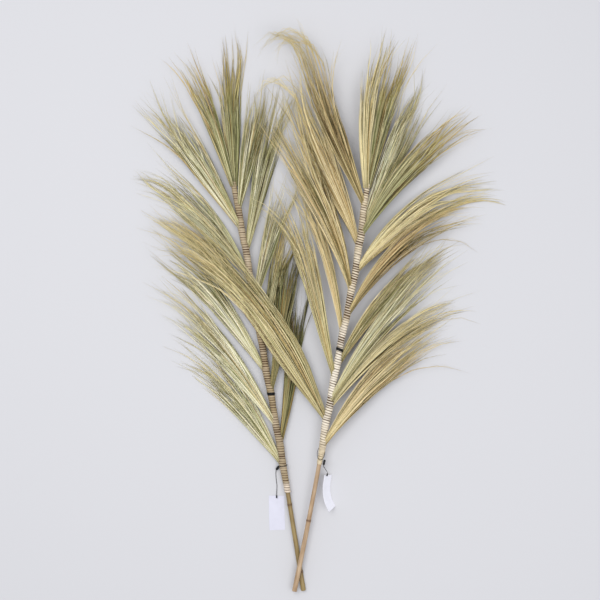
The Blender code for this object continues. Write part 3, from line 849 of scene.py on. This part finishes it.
@dataclass
class Sheaf:
    """A sheaf of straws that leaves a stem and spreads towards its tip.

    A heading is degrees from +Y towards +X.
    """

    stem: Stem
    place: str
    station: float
    side: int
    round_stem: float
    headings: tuple[float, float, float]
    length: float
    spread: float
    level: float
    tip_level: float
    tone: Tone
    seed: int
    habit: Habit

    straws_per_area: float = 38000.0
    strands_least: int = 28
    strands_per_metre: float = 1700.0
    strand_radius: float = 1.0 * MM
    looseness: float = 0.3
    locks: int = 5
    overrun: float = 60 * MM
    room: tuple[float, float] = (0.425, 0.645)
    fuller: float = 1.08
    straw_radius: float = 0.68 * MM
    half_thickness: float = 5.6 * MM
    full_thickness_at: float = 0.34
    settled_at: float = 0.45
    tip_level_from: float = 0.5
    tip_seat: float = 6 * MM
    sunk: float = 0.03
    floor_clearance: float = 0.5 * MM
    steps: int = 48

    @property
    def name(self) -> str:
        """The CAD node that the sheaf replaces."""
        return f"{self.stem.name}_sheaf_{self.place}"

    @property
    def joint(self) -> Joint:
        """Where it leaves the winding, for the winding's bulge."""
        lean = math.radians(self.round_stem)
        return Joint(self.station, lean if self.side >= 0 else math.pi - lean)

    def _root(self) -> np.ndarray:
        """The middle of its neck."""
        centre, along, across, above = (row[0] for row in self.stem.line.frames(np.array([self.station])))
        if self.side == 0:
            sideways, upwards = self.habit.offset
            return centre - self.tip_seat * along + sideways * across + upwards * above
        lean = math.radians(self.round_stem)
        out = self.side * math.cos(lean) * across + math.sin(lean) * above
        return centre + self.stem.seat_radius(self.station) * out

    def _course(self) -> tuple[np.ndarray, np.ndarray, np.ndarray, np.ndarray]:
        """The middle line in plan: shares of the length, headings, and places from the root."""
        at_root, at_middle, at_tip = np.radians(self.headings)
        shares = np.linspace(0, 1, self.steps + 1)
        bend = 2 * (at_root + at_tip - 2 * at_middle)
        headings = at_root + (at_tip - at_root - bend) * shares + bend * shares**2
        middle = (headings[1:] + headings[:-1]) / 2
        step = self.length / self.steps
        x = np.concatenate([[0], np.cumsum(np.sin(middle)) * step])
        y = np.concatenate([[0], np.cumsum(np.cos(middle)) * step])
        return shares, headings, x, y

    def _half_width(self, share: np.ndarray) -> np.ndarray:
        neck = self.habit.neck[0]
        opened = np.sin(0.5 * math.pi * np.clip(share / self.habit.open_at, 0, 1))
        return neck + (self.fuller * self.spread / 2 - neck) * opened

    def _half_thickness(self, share: np.ndarray) -> np.ndarray:
        neck = self.habit.neck[1]
        opened = np.sin(0.5 * math.pi * np.clip(share / self.full_thickness_at, 0, 1))
        return neck + (self.half_thickness - neck) * opened

    def _height(self, share: np.ndarray, root_height: float) -> np.ndarray:
        settled = root_height + (self.level - root_height) * smooth_step(share / self.settled_at)
        turned = smooth_step((share - self.tip_level_from) / (1 - self.tip_level_from))
        return settled + (self.tip_level - self.level) * turned

    def _segments(self) -> int:
        """How many pieces a straw has: more in a sheaf that bends more."""
        turn = abs(self.headings[2] - self.headings[0]) + abs(self.headings[1] - self.headings[0])
        return 5 + round(turn / 25) + (2 if self.habit.hooked else 0)

    def _copies(self, count: int) -> bpy.types.Mesh:
        """Many copies of one three-sided straw, all in the same place: a unit spike along Z."""
        pieces = self._segments()
        bm = straight_tube(3, [k / pieces for k in range(pieces)] + [1.0])
        top = [v for v in bm.verts if v.co.z > 0.999]
        bmesh.ops.delete(bm, geom=[f for f in bm.faces if f.normal.z > 0.9], context="FACES_ONLY")
        bmesh.ops.pointmerge(bm, verts=top, merge_co=(0, 0, 1))
        return evaluated(
            mesh_from(bm, self.name),
            "ARRAY",
            count=count,
            use_relative_offset=False,
            use_constant_offset=True,
            constant_offset_displace=(0, 0, 0),
            use_merge_vertices=False,
        )

    def _strands(self, rng: np.random.Generator) -> dict[str, np.ndarray]:
        """Draws the strands: bunches of straws that run together from the root to a common tip."""
        count = self.strands_least + round(self.spread * self.strands_per_metre)
        across = 2 * (np.arange(count) + rng.random(count)) / count - 1
        across = np.sign(across) * np.abs(across) ** 1.15
        lock_across = np.linspace(-0.85, 0.85, self.locks) + rng.normal(0, 0.08, self.locks)
        lock_end = (1.04 - 0.22 * np.abs(lock_across) ** 1.5) * (1 - 0.2 * rng.random(self.locks))
        long_locks = rng.choice(self.locks, 2, replace=False)
        lock_end[long_locks] = 1 + self.overrun / self.length * rng.uniform(0.3, 1, 2)
        lock_drift = 0.03 * lock_across + rng.normal(0, 0.014, self.locks)
        lock_curl = rng.normal(0, 1.5, self.locks)
        lock = np.argmin(np.abs(across[:, None] - lock_across + rng.normal(0, 0.12, (count, 1))), axis=1)
        apart = np.abs(across - lock_across[lock]) * self.locks / 2

        lanes = np.interp(across, np.linspace(-1, 1, 8), rng.uniform(-0.3, 0.3, 8))

        loose = rng.random(count) < self.looseness
        hooked = rng.random(count) < abs(self.habit.hooked)
        end = lock_end[lock] * (1 - 0.52 * rng.random(count) ** 0.85) * (1 - 0.08 * np.minimum(apart, 1.5))
        end = np.where(loose, rng.uniform(0.75, 1 + 0.5 * self.overrun / self.length, count), end)
        start = np.where(rng.random(count) < 0.66, -self.sunk, rng.uniform(0.03, 0.45, count))
        drift = np.where(loose, 0.05 * across, lock_drift[lock])
        drift = drift + rng.normal(0, 1, count) * np.where(loose, 0.026, 0.006)
        curl = np.where(loose, 0, lock_curl[lock]) + rng.normal(0, 1, count) * np.where(loose, 1.3, 0.6)
        curl = np.where(hooked, np.sign(self.habit.hooked) * rng.uniform(16, 21, count), curl)
        return {
            "across": across,
            "above": rng.uniform(-1, 1, count),
            "gather": np.where(loose | hooked, 0, lock_across[lock] - across),
            "start": np.minimum(start, end - 0.3),
            "end": np.where(hooked, 1.25, end),
            "drift": np.where(hooked, 0, drift),
            "sway": rng.normal(0, 0.014, self.locks)[lock] + rng.normal(0, 0.006, count),
            "curl": curl,
            "curl_from": np.where(hooked, rng.uniform(0.84, 0.9, count), rng.uniform(0.4, 0.75, count)),
            "tint": 0.5 + lanes + 0.7 * (rng.random(count) - 0.5),
            "hue": rng.random(count),
            "weight": np.where(hooked, 1.1, np.where(loose, 0.4, 1.3)) * rng.uniform(0.5, 1.5, count),
        }

    def _straws(self, rng: np.random.Generator, count: int) -> dict[str, np.ndarray]:
        """Draws the straws: each in its strand, apart from a few strays."""
        strands = self._strands(rng)
        weight = strands.pop("weight")
        home = rng.choice(len(weight), count, p=weight / weight.sum())
        straws = {key: values[home] for key, values in strands.items()}
        stray = rng.random(count) < 0.05
        swing = 2 * math.pi * rng.random(count)
        out = np.sqrt(rng.random(count)) * self.strand_radius * np.sqrt(weight[home])
        straws["beside"] = out * np.cos(swing)
        straws["over"] = out * np.sin(swing)
        straws["across"] = np.where(stray, rng.uniform(-1, 1, count), straws["across"])
        span = straws["end"] - straws["start"]
        shorter = np.where(straws["end"] > 1.19, 0.12, 0.45)
        straws["end"] = straws["end"] - span * shorter * rng.random(count) ** 1.5
        straws["drift"] = straws["drift"] + rng.normal(0, 0.001, count)
        straws["drift"] = np.where(stray, rng.normal(0, 0.028, count), straws["drift"])
        straws["curl"] = straws["curl"] + rng.normal(0, 0.1, count)
        straws["curl"] = np.where(stray, rng.normal(0, 2.0, count), straws["curl"])
        straws["rise"] = rng.normal(0, 0.004, count)
        straws["tint"] = straws["tint"] + rng.normal(0, 0.33, count)
        straws["hue"] = straws["hue"] + rng.normal(0, 0.05, count)
        straws["radius"] = self.straw_radius * np.exp(rng.normal(0, 0.22, count)) * np.where(stray, 0.7, 1)
        straws["turn"] = 2 * math.pi * rng.random(count)
        straws["pace"] = rng.uniform(-0.3, 0.3, count) / self._segments()
        return straws

    def _centres(self, spot: np.ndarray, straws: dict[str, np.ndarray]) -> tuple[np.ndarray, ...]:
        """Lays the straws' middle lines along the sheaf's flow.

        Args:
            spot: places along a straw, 0 to 1, in a row for each straw.
            straws: what _straws drew.

        Returns:
            The points, and their shares of the sheaf's length.
        """
        each = {key: values[:, None] for key, values in straws.items()}
        spot = spot + each["pace"] * np.sin(math.pi * spot)
        share = each["start"] + (each["end"] - each["start"]) * spot
        late = np.clip((share - 0.35) / 0.65, 0, None)
        opening = 0.4 + 0.6 * smooth_step((share - each["start"]) / 0.3)
        opening = np.where(each["start"] < 0, 1.0, opening)
        bunch = 1.15 - 0.75 * np.clip(spot, 0, 1)
        across = each["across"] + each["gather"] * 0.45 * smooth_step((share - 0.4) / 0.5)
        sideways = across * opening * self._half_width(share) + each["beside"] * bunch
        sideways = sideways + self.length * late * (each["drift"] * late + each["sway"] * np.sin(7 * late))
        upwards = each["above"] * opening * self._half_thickness(share) + each["over"] * bunch
        upwards = upwards + self.length * each["rise"] * late**2

        past = np.clip(share - each["curl_from"], 0, None) * self.length
        turned = each["curl"] * past
        forward = np.minimum(share, each["curl_from"]) + past * np.sinc(turned / math.pi) / self.length
        sideways = sideways + past * turned / 2 * np.sinc(turned / (2 * math.pi)) ** 2

        root = self._root()
        shares, headings, x, y = self._course()
        held = np.clip(forward, 0, 1)
        beyond = (forward - held) * self.length
        heading = np.interp(held, shares, headings)
        sine, cosine = np.sin(heading), np.cos(heading)
        height = self._height(held, root[2]) + upwards
        points = np.stack(
            [
                root[0] + np.interp(held, shares, x) + beyond * sine + sideways * cosine,
                root[1] + np.interp(held, shares, y) + beyond * cosine - sideways * sine,
                np.maximum(height, self.floor_clearance + 0.3 * MM * (1 + each["above"])),
            ],
            axis=-1,
        )
        for axis, room in enumerate(self.room):
            excess = np.clip(np.abs(points[..., axis]) - room, 0, None)
            points[..., axis] -= 0.6 * excess * np.sign(points[..., axis])
        return points, share

    def build(self, material: bpy.types.Material) -> None:
        """Adds the sheaf: lays every straw along the sheaf's flow."""
        rng = np.random.default_rng(self.seed)
        count = round(self.straws_per_area * self.spread * self.length)
        mesh = self._copies(count)
        local = array_of(mesh).reshape(count, -1, 3)[0]
        ring = np.round(local[:, 2] * self._segments()).astype(int)
        spoke, solid = np.arctan2(local[:, 1], local[:, 0]), np.hypot(local[:, 0], local[:, 1])

        straws = self._straws(rng, count)
        spot = np.broadcast_to(np.linspace(0, 1, self._segments() + 1), (count, self._segments() + 1))
        centres, share = self._centres(spot, straws)
        ahead = np.gradient(centres, axis=1)
        ahead /= np.linalg.norm(ahead, axis=2, keepdims=True)
        right = np.cross(ahead, (0.0, 0.0, 1.0))
        right /= np.linalg.norm(right, axis=2, keepdims=True)
        up = np.cross(right, ahead)
        taper = (0.45 + 0.55 * np.clip(spot / 0.25, 0, 1)) * (1 - 0.65 * spot**2)
        thick = (straws["radius"][:, None] * taper)[:, ring] * solid
        angle = spoke[None, :] + straws["turn"][:, None]
        points = centres[:, ring]
        points = points + (thick * np.cos(angle))[..., None] * right[:, ring]
        points = points + (thick * np.sin(angle))[..., None] * up[:, ring]
        points[..., 2] = np.maximum(points[..., 2], 0.0)
        move_points(mesh, points.reshape(-1, 3))

        # Painted light: the straws on the sheaf's side towards the lamp get a lighter tint, those on the far side
        # a darker one.
        lit_side = -0.8 * math.cos(math.radians(self.headings[1])) - 0.6 * math.sin(math.radians(self.headings[1]))
        tint = np.clip(straws["tint"] + 0.14 * lit_side * straws["across"], 0, 1)
        mark(mesh, "along", share[:, ring].ravel())
        mark(mesh, "tint", np.repeat(tint, len(ring)))
        mark(mesh, "hue", np.repeat(np.clip(straws["hue"], 0, 1), len(ring)))
        add_piece(f"{self.name}_straws", mesh, material, self.name)


# Swing tags


@dataclass
class SwingTag:
    """A blank card on a black cord, whose loop runs round the stem."""

    stem: Stem
    loop_station: float
    loop_radius: float
    loop_rise: float
    bead: tuple[Point, Point]
    cord: tuple[Point, ...]
    stud: tuple[Point, Point]

    cord_radius: float = 0.6 * MM
    cord_in_fitting: float = 1 * MM
    bead_radius: float = 2.8 * MM
    stud_radius: float = 1.7 * MM

    def build(
        self,
        cord_finish: bpy.types.Material,
        plastic: bpy.types.Material,
        card_finish: bpy.types.Material,
        card: bpy.types.Object,
    ) -> None:
        """Adds the loop with its bead, the stud and the cord, and finishes the CAD card.

        Args:
            cord_finish: the cord's material.
            plastic: the bead's and the stud's.
            card_finish: the card's.
            card: the CAD node of the card.
        """
        name = self.stem.name
        add_piece(f"{name}_cord_loop", self._loop_mesh(), cord_finish, f"{name}_tag_loop")
        bead = add_piece(f"{name}_cord_bead", self._barrel(*self.bead, self.bead_radius), plastic)
        stud_mesh = self._barrel(*self.stud, self.stud_radius)
        stud = add_piece(f"{name}_cord_stud", stud_mesh, plastic, f"{name}_tag_stud")
        card.data.materials.clear()
        card.data.materials.append(card_finish)
        self._add_cord(cord_finish)

    def _barrel(self, start: Point, end: Point, radius: float) -> bpy.types.Mesh:
        """A small moulded barrel with rounded ends and a waist."""
        axis = Vector(end) - Vector(start)
        profile = ((0, 0.45), (0.04, 0.62), (0.16, 0.95), (0.3, 1.0), (0.47, 0.9), (0.53, 0.9))
        profile += ((0.7, 1.0), (0.84, 0.95), (0.96, 0.62), (1.0, 0.45))
        bm = straight_tube(20, [share for share, _ in profile])
        turn = Vector((0, 0, 1)).rotation_difference(axis).to_matrix()
        shares, sizes = zip(*profile)
        for vertex in bm.verts:
            size = float(np.interp(vertex.co.z, shares, sizes)) * radius
            local = Vector((vertex.co.x * size, vertex.co.y * size, vertex.co.z * axis.length))
            vertex.co = Vector(start) + turn @ local
        return mesh_from(bm, "barrel")

    def _loop_mesh(self) -> bpy.types.Mesh:
        """The cord's ring round the stem."""
        bm = bmesh.new()
        section = bmesh.ops.create_circle(bm, segments=8, radius=1.0)["verts"]
        bmesh.ops.rotate(bm, verts=section, cent=(0, 0, 0), matrix=QUARTER_ABOUT_X)
        bmesh.ops.translate(bm, verts=section, vec=(10, 0, 0))
        bmesh.ops.spin(
            bm,
            geom=[*bm.verts, *bm.edges],
            cent=(0, 0, 0),
            axis=(0, 0, 1),
            angle=2 * math.pi,
            steps=48,
            use_merge=True,
        )
        mesh = mesh_from(bm, "loop")
        local = array_of(mesh)
        angles = np.arctan2(local[:, 1], local[:, 0])
        out = np.hypot(local[:, 0], local[:, 1]) - 10
        stations = self.loop_station + local[:, 2] * self.cord_radius
        stations = stations + self.loop_rise * (1 - np.sin(angles)) / 2
        move_points(mesh, self.stem.line.bend(stations, angles, self.loop_radius + out * self.cord_radius))
        return mesh

    def _add_cord(self, finish: bpy.types.Material) -> None:
        """The free cord from the bead to the stud."""
        points = smooth_line(self.cord, 5)
        name = f"{self.stem.name}_cord"
        curve = bpy.data.curves.new(name, "CURVE")
        curve.dimensions = "3D"
        curve.bevel_depth = self.cord_radius
        curve.bevel_resolution = 3
        curve.use_fill_caps = True
        spline = curve.splines.new("POLY")
        spline.points.add(len(points) - 1)
        for point, place in zip(spline.points, points):
            point.co = (*place, 1.0)
        curve.materials.append(finish)
        cord = bpy.data.objects.new(name, curve)
        bpy.context.scene.collection.objects.link(cord)
        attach(cord, BODY)
        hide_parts(f"{self.stem.name}_tag_cord")
        run = float(np.linalg.norm(np.diff(points, axis=0), axis=1).sum())
        length = run + 2 * self.cord_in_fitting
        2 * self.cord_radius
        LOG.info("%s: %.0f mm long", name, length / MM)


# Studio


@dataclass(frozen=True)
class Studio:
    """The floor, the lights and the camera over the bundle."""

    floor_size: float = 14.0
    camera_height: float = 3.4
    field_width: float = 1.38
    field_middle: tuple[float, float] = (-0.040, 0.014)
    sky: Colour = srgb(240, 241, 245)
    sky_strength: float = 0.77

    def build(self) -> None:
        """Makes the camera, the floor and the lights."""
        scene = bpy.context.scene
        scene.view_settings.view_transform = "Standard"
        self._add_camera(scene)
        self._add_floor()
        self._light_sky(scene)
        self._add_lamp("key", (-1.0, 0.7, 3.2), 2.0, 57.0)
        self._add_lamp("fill", (1.4, -0.8, 3.2), 2.0, 34.0)

    def _add_camera(self, scene: bpy.types.Scene) -> None:
        """A camera that looks straight down, as wide as the photograph."""
        camera = bpy.data.cameras.new("camera")
        camera.sensor_fit = "HORIZONTAL"
        camera.angle = 2 * math.atan(self.field_width / 2 / self.camera_height)
        camera.clip_end = 50.0
        holder = bpy.data.objects.new("camera", camera)
        holder.location = (*self.field_middle, self.camera_height)
        scene.collection.objects.link(holder)
        scene.camera = holder

    def _add_floor(self) -> None:
        """The floor, just under what lies on it."""
        bm = bmesh.new()
        bmesh.ops.create_grid(bm, x_segments=1, y_segments=1, size=self.floor_size / 2)
        mesh = mesh_from(bm, "floor")
        mesh.materials.append(FloorFinish().build())
        floor = bpy.data.objects.new("floor", mesh)
        floor.location.z = -0.1 * MM
        bpy.context.scene.collection.objects.link(floor)

    def _light_sky(self, scene: bpy.types.Scene) -> None:
        """Even light from all round."""
        world = bpy.data.worlds.new("studio")
        world.use_nodes = True
        sky = world.node_tree.nodes["Background"]
        sky.inputs["Color"].default_value = (*self.sky, 1.0)
        sky.inputs["Strength"].default_value = self.sky_strength
        scene.world = world

    @staticmethod
    def _add_lamp(name: str, place: Point, size: float, power: float) -> None:
        """A soft square lamp that faces the middle of the bundle."""
        lamp = bpy.data.lights.new(name, "AREA")
        lamp.size = size
        lamp.energy = power
        holder = bpy.data.objects.new(name, lamp)
        holder.location = place
        holder.rotation_euler = (-Vector(place)).to_track_quat("-Z", "Y").to_euler()
        bpy.context.scene.collection.objects.link(holder)


QUARTER_ABOUT_X = Matrix.Rotation(math.pi / 2, 3, "X")

LEFT_STEM = Stem(
    name="left",
    line=StemLine(
        (
            (-0.032, -0.653, 0.0051),
            (-0.043, -0.585, 0.0051),
            (-0.054, -0.515, 0.0078),
            (-0.084, -0.331, 0.0126),
            (-0.113, -0.170, 0.0150),
            (-0.138, -0.030, 0.0180),
            (-0.163, 0.120, 0.0208),
            (-0.194, 0.290, 0.0240),
        )
    ),
    winding_foot=-0.428,
    winding_tip=0.290,
    knots=(-0.610, -0.455),
    band=-0.2005,
    cane_finish=CaneFinish("left_cane", srgb(152, 132, 84), srgb(104, 84, 48)),
    winding_finish=WindingFinish("left_winding", srgb(164, 145, 108), srgb(232, 216, 196), srgb(78, 56, 34)),
    pale_at=((-0.43, 1.0), (-0.41, 0.95), (-0.40, 0.2), (-0.2, 0.15), (0.0, 0.2), (0.1, 0.35), (0.3, 0.1)),
    seed=11,
)

RIGHT_STEM = Stem(
    name="right",
    line=StemLine(
        (
            (-0.053, -0.653, 0.0150),
            (-0.040, -0.590, 0.0156),
            (-0.025, -0.515, 0.0186),
            (0.001, -0.377, 0.0240),
            (0.022, -0.251, 0.0285),
            (0.052, -0.090, 0.0335),
            (0.082, 0.060, 0.0375),
            (0.098, 0.165, 0.0395),
            (0.114, 0.285, 0.0410),
        )
    ),
    winding_foot=-0.361,
    winding_tip=0.285,
    knots=(-0.490,),
    band=-0.0985,
    cane_finish=CaneFinish("right_cane", srgb(194, 168, 136), srgb(142, 110, 76)),
    winding_finish=WindingFinish("right_winding", srgb(206, 188, 152), srgb(238, 228, 210), srgb(84, 62, 40)),
    sheath=42 * MM,
    pale_at=((-0.36, 0.1), (-0.33, 0.25), (-0.30, 0.6), (-0.26, 0.9), (-0.06, 1.0), (-0.03, 0.5), (0.1, 0.45), (0.3, 0.2)),
    seed=12,
)

TIP_NECK = (5.4 * MM, 4.6 * MM)
HABITS = {
    "left_tip_inner": Habit(neck=TIP_NECK, offset=(3.6 * MM, -2.4 * MM)),
    "left_tip_outer": Habit(neck=TIP_NECK, offset=(-3.6 * MM, 2.4 * MM)),
    "right_tip_inner": Habit(neck=TIP_NECK, offset=(-3.6 * MM, 2.4 * MM)),
    "right_tip_outer": Habit(neck=TIP_NECK, offset=(3.6 * MM, -2.4 * MM)),
    "right_left_1": Habit(hooked=-0.07),
    "right_left_2": Habit(hooked=-0.015),
    "right_left_6": Habit(open_at=0.34),
}

# Place, station, side, degrees round the stem, headings at root, middle and tip, length, spread,
# level, tip level, tone
LEFT_SHEAVES = (
    ("tip_inner", 0.290, 0, 0, (-4, -3, -6), 0.350, 0.046, 0.006, 0.006, Tone.OLIVE),
    ("tip_outer", 0.290, 0, 0, (-17, -21, -32), 0.325, 0.036, 0.0185, 0.0160, Tone.OLIVE),
    ("left_1", 0.189, -1, 25, (-31, -34, -38), 0.365, 0.056, 0.0175, 0.0150, Tone.GREEN),
    ("left_2", 0.083, -1, -25, (-35, -46, -66), 0.345, 0.062, 0.0045, 0.0050, Tone.PALE),
    ("left_3", -0.005, -1, 25, (-29, -46, -66), 0.335, 0.040, 0.0175, 0.0170, Tone.STRAW),
    ("left_4", -0.138, -1, -25, (-33, -40, -60), 0.400, 0.050, 0.0045, 0.0050, Tone.PALE),
    ("left_5", -0.258, -1, 25, (-33, -42, -62), 0.420, 0.055, 0.0175, 0.0150, Tone.PALE),
    ("left_6", -0.352, -1, -25, (-32, -40, -58), 0.370, 0.062, 0.0045, 0.0050, Tone.PALE),
    ("right_1", 0.232, 1, 25, (9, 11, 9), 0.290, 0.044, 0.0175, 0.0150, Tone.GREEN),
    ("right_2", 0.138, 1, -25, (11, 13, 18), 0.398, 0.046, 0.0045, 0.0050, Tone.GREEN),
    ("right_3", 0.025, 1, 25, (13, 16, 20), 0.288, 0.038, 0.0175, 0.0170, Tone.PALE),
    ("right_4", -0.083, 1, -25, (10, 13, 22), 0.303, 0.036, 0.0045, 0.0050, Tone.OLIVE),
    ("right_5", -0.182, 1, 25, (11, 8, 16), 0.382, 0.038, 0.0175, 0.0170, Tone.SHADED),
    ("right_6", -0.301, 1, -25, (11, 5, 2), 0.405, 0.036, 0.0045, 0.0050, Tone.SHADED),
)

RIGHT_SHEAVES = (
    ("tip_inner", 0.285, 0, 0, (-3, 5, 11), 0.372, 0.036, 0.040, 0.030, Tone.STRAW),
    ("tip_outer", 0.285, 0, 0, (11, 15, 24), 0.345, 0.044, 0.026, 0.008, Tone.OLIVE),
    ("right_1", 0.197, 1, -25, (22, 24, 23), 0.368, 0.054, 0.0140, 0.0045, Tone.PALE),
    ("right_2", 0.172, 1, 30, (31, 44, 66), 0.385, 0.048, 0.032, 0.018, Tone.OLIVE),
    ("right_3", 0.087, 1, -25, (38, 57, 82), 0.392, 0.060, 0.0140, 0.0045, Tone.STRAW),
    ("right_4", -0.005, 1, 25, (31, 51, 82), 0.392, 0.042, 0.029, 0.018, Tone.BROWN),
    ("right_5", -0.122, 1, -25, (29, 44, 62), 0.394, 0.038, 0.0120, 0.0045, Tone.CROSSING),
    ("right_6", -0.202, 1, 38, (30, 40, 48), 0.447, 0.044, 0.027, 0.017, Tone.GREEN),
    ("right_7", -0.224, 1, -38, (36, 54, 84), 0.432, 0.036, 0.0100, 0.0045, Tone.STRAW),
    ("right_8", -0.305, 1, 25, (33, 47, 66), 0.399, 0.054, 0.021, 0.013, Tone.GOLD),
    ("left_1", 0.239, -1, 25, (-22, -20, -10), 0.410, 0.050, 0.045, 0.042, Tone.BROWN),
    ("left_2", 0.147, -1, -25, (-18, -24, -12), 0.420, 0.062, 0.031, 0.029, Tone.GOLD),
    ("left_3", 0.048, -1, 25, (-13, -26, -28), 0.469, 0.062, 0.045, 0.042, Tone.GOLD),
    ("left_4", -0.048, -1, -25, (-9, -18, -36), 0.392, 0.026, 0.031, 0.029, Tone.GOLD),
    ("left_5", -0.147, -1, 25, (-15, -15, -36), 0.477, 0.042, 0.045, 0.043, Tone.STRAW),
    ("left_6", -0.251, -1, -10, (-29, -39, -74), 0.615, 0.062, 0.036, 0.034, Tone.CROSSING),
)

LEFT_TAG = SwingTag(
    stem=LEFT_STEM,
    loop_station=-0.3655,
    loop_radius=9.6 * MM,
    loop_rise=0.0,
    bead=((-0.0885, -0.3670, 0.0070), (-0.0945, -0.3765, 0.0022)),
    cord=(
        (-0.0947, -0.3768, 0.0020),
        (-0.0955, -0.3850, 0.0009),
        (-0.0945, -0.4000, 0.0009),
        (-0.0930, -0.4130, 0.0009),
        (-0.0934, -0.4250, 0.0012),
        (-0.0935, -0.4341, 0.0026),
    ),
    stud=((-0.0935, -0.4345, 0.00275), (-0.0935, -0.4415, 0.00275)),
)

RIGHT_TAG = SwingTag(
    stem=RIGHT_STEM,
    loop_station=-0.3500,
    loop_radius=8.6 * MM,
    loop_rise=30 * MM,
    bead=((0.0165, -0.3500, 0.0290), (0.0135, -0.3625, 0.0300)),
    cord=(
        (0.0135, -0.3633, 0.0292),
        (0.0150, -0.3680, 0.0215),
        (0.0180, -0.3730, 0.0175),
        (0.0212, -0.3775, 0.0205),
        (0.0227, -0.3803, 0.0254),
    ),
    stud=((0.0227, -0.3813, 0.0261), (0.0216, -0.3882, 0.0261)),
)


def main() -> None:
    """Builds the studio, both stems with their sheaves, and the swing tags."""
    logging.basicConfig(level=logging.INFO, format="%(name)s %(message)s")
    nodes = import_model()["nodes"]
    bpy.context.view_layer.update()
    Studio().build()
    cord_finish = BlackFinish("black_cord", 0.6).build()
    plastic = BlackFinish("black_plastic", 0.3).build()
    tape = BlackFinish("black_tape", 0.6, srgb(4, 4, 4), srgb(16, 15, 15)).build()
    # Both tags are the same white card: the lying card's greyer white is painted shade, and the standing card's
    # whiter colour is painted light on a face that turns from the lamp.
    cards = (
        CardFinish("lying_card_painted_shade"),
        CardFinish("standing_card_painted_light", srgb(240, 240, 248), srgb(222, 221, 230)),
    )
    for tag, card in zip((LEFT_TAG, RIGHT_TAG), cards):
        tag.build(cord_finish, plastic, card.build(), nodes[f"{tag.stem.name}_tag_card"])
    bed = BedFinish().build()
    tones = {tone: tone.value.build() for tone in Tone}
    for stem, rows in ((LEFT_STEM, LEFT_SHEAVES), (RIGHT_STEM, RIGHT_SHEAVES)):
        sheaves = [
            Sheaf(stem, *row, seed=100 * stem.seed + n, habit=HABITS.get(f"{stem.name}_{row[0]}", Habit()))
            for n, row in enumerate(rows)
        ]
        joints = [sheaf.joint for sheaf in sheaves if sheaf.side]
        stem.build(joints, tape, bed)
        for sheaf in sheaves:
            sheaf.build(tones[sheaf.tone])


if __name__ == "__main__":
    main()
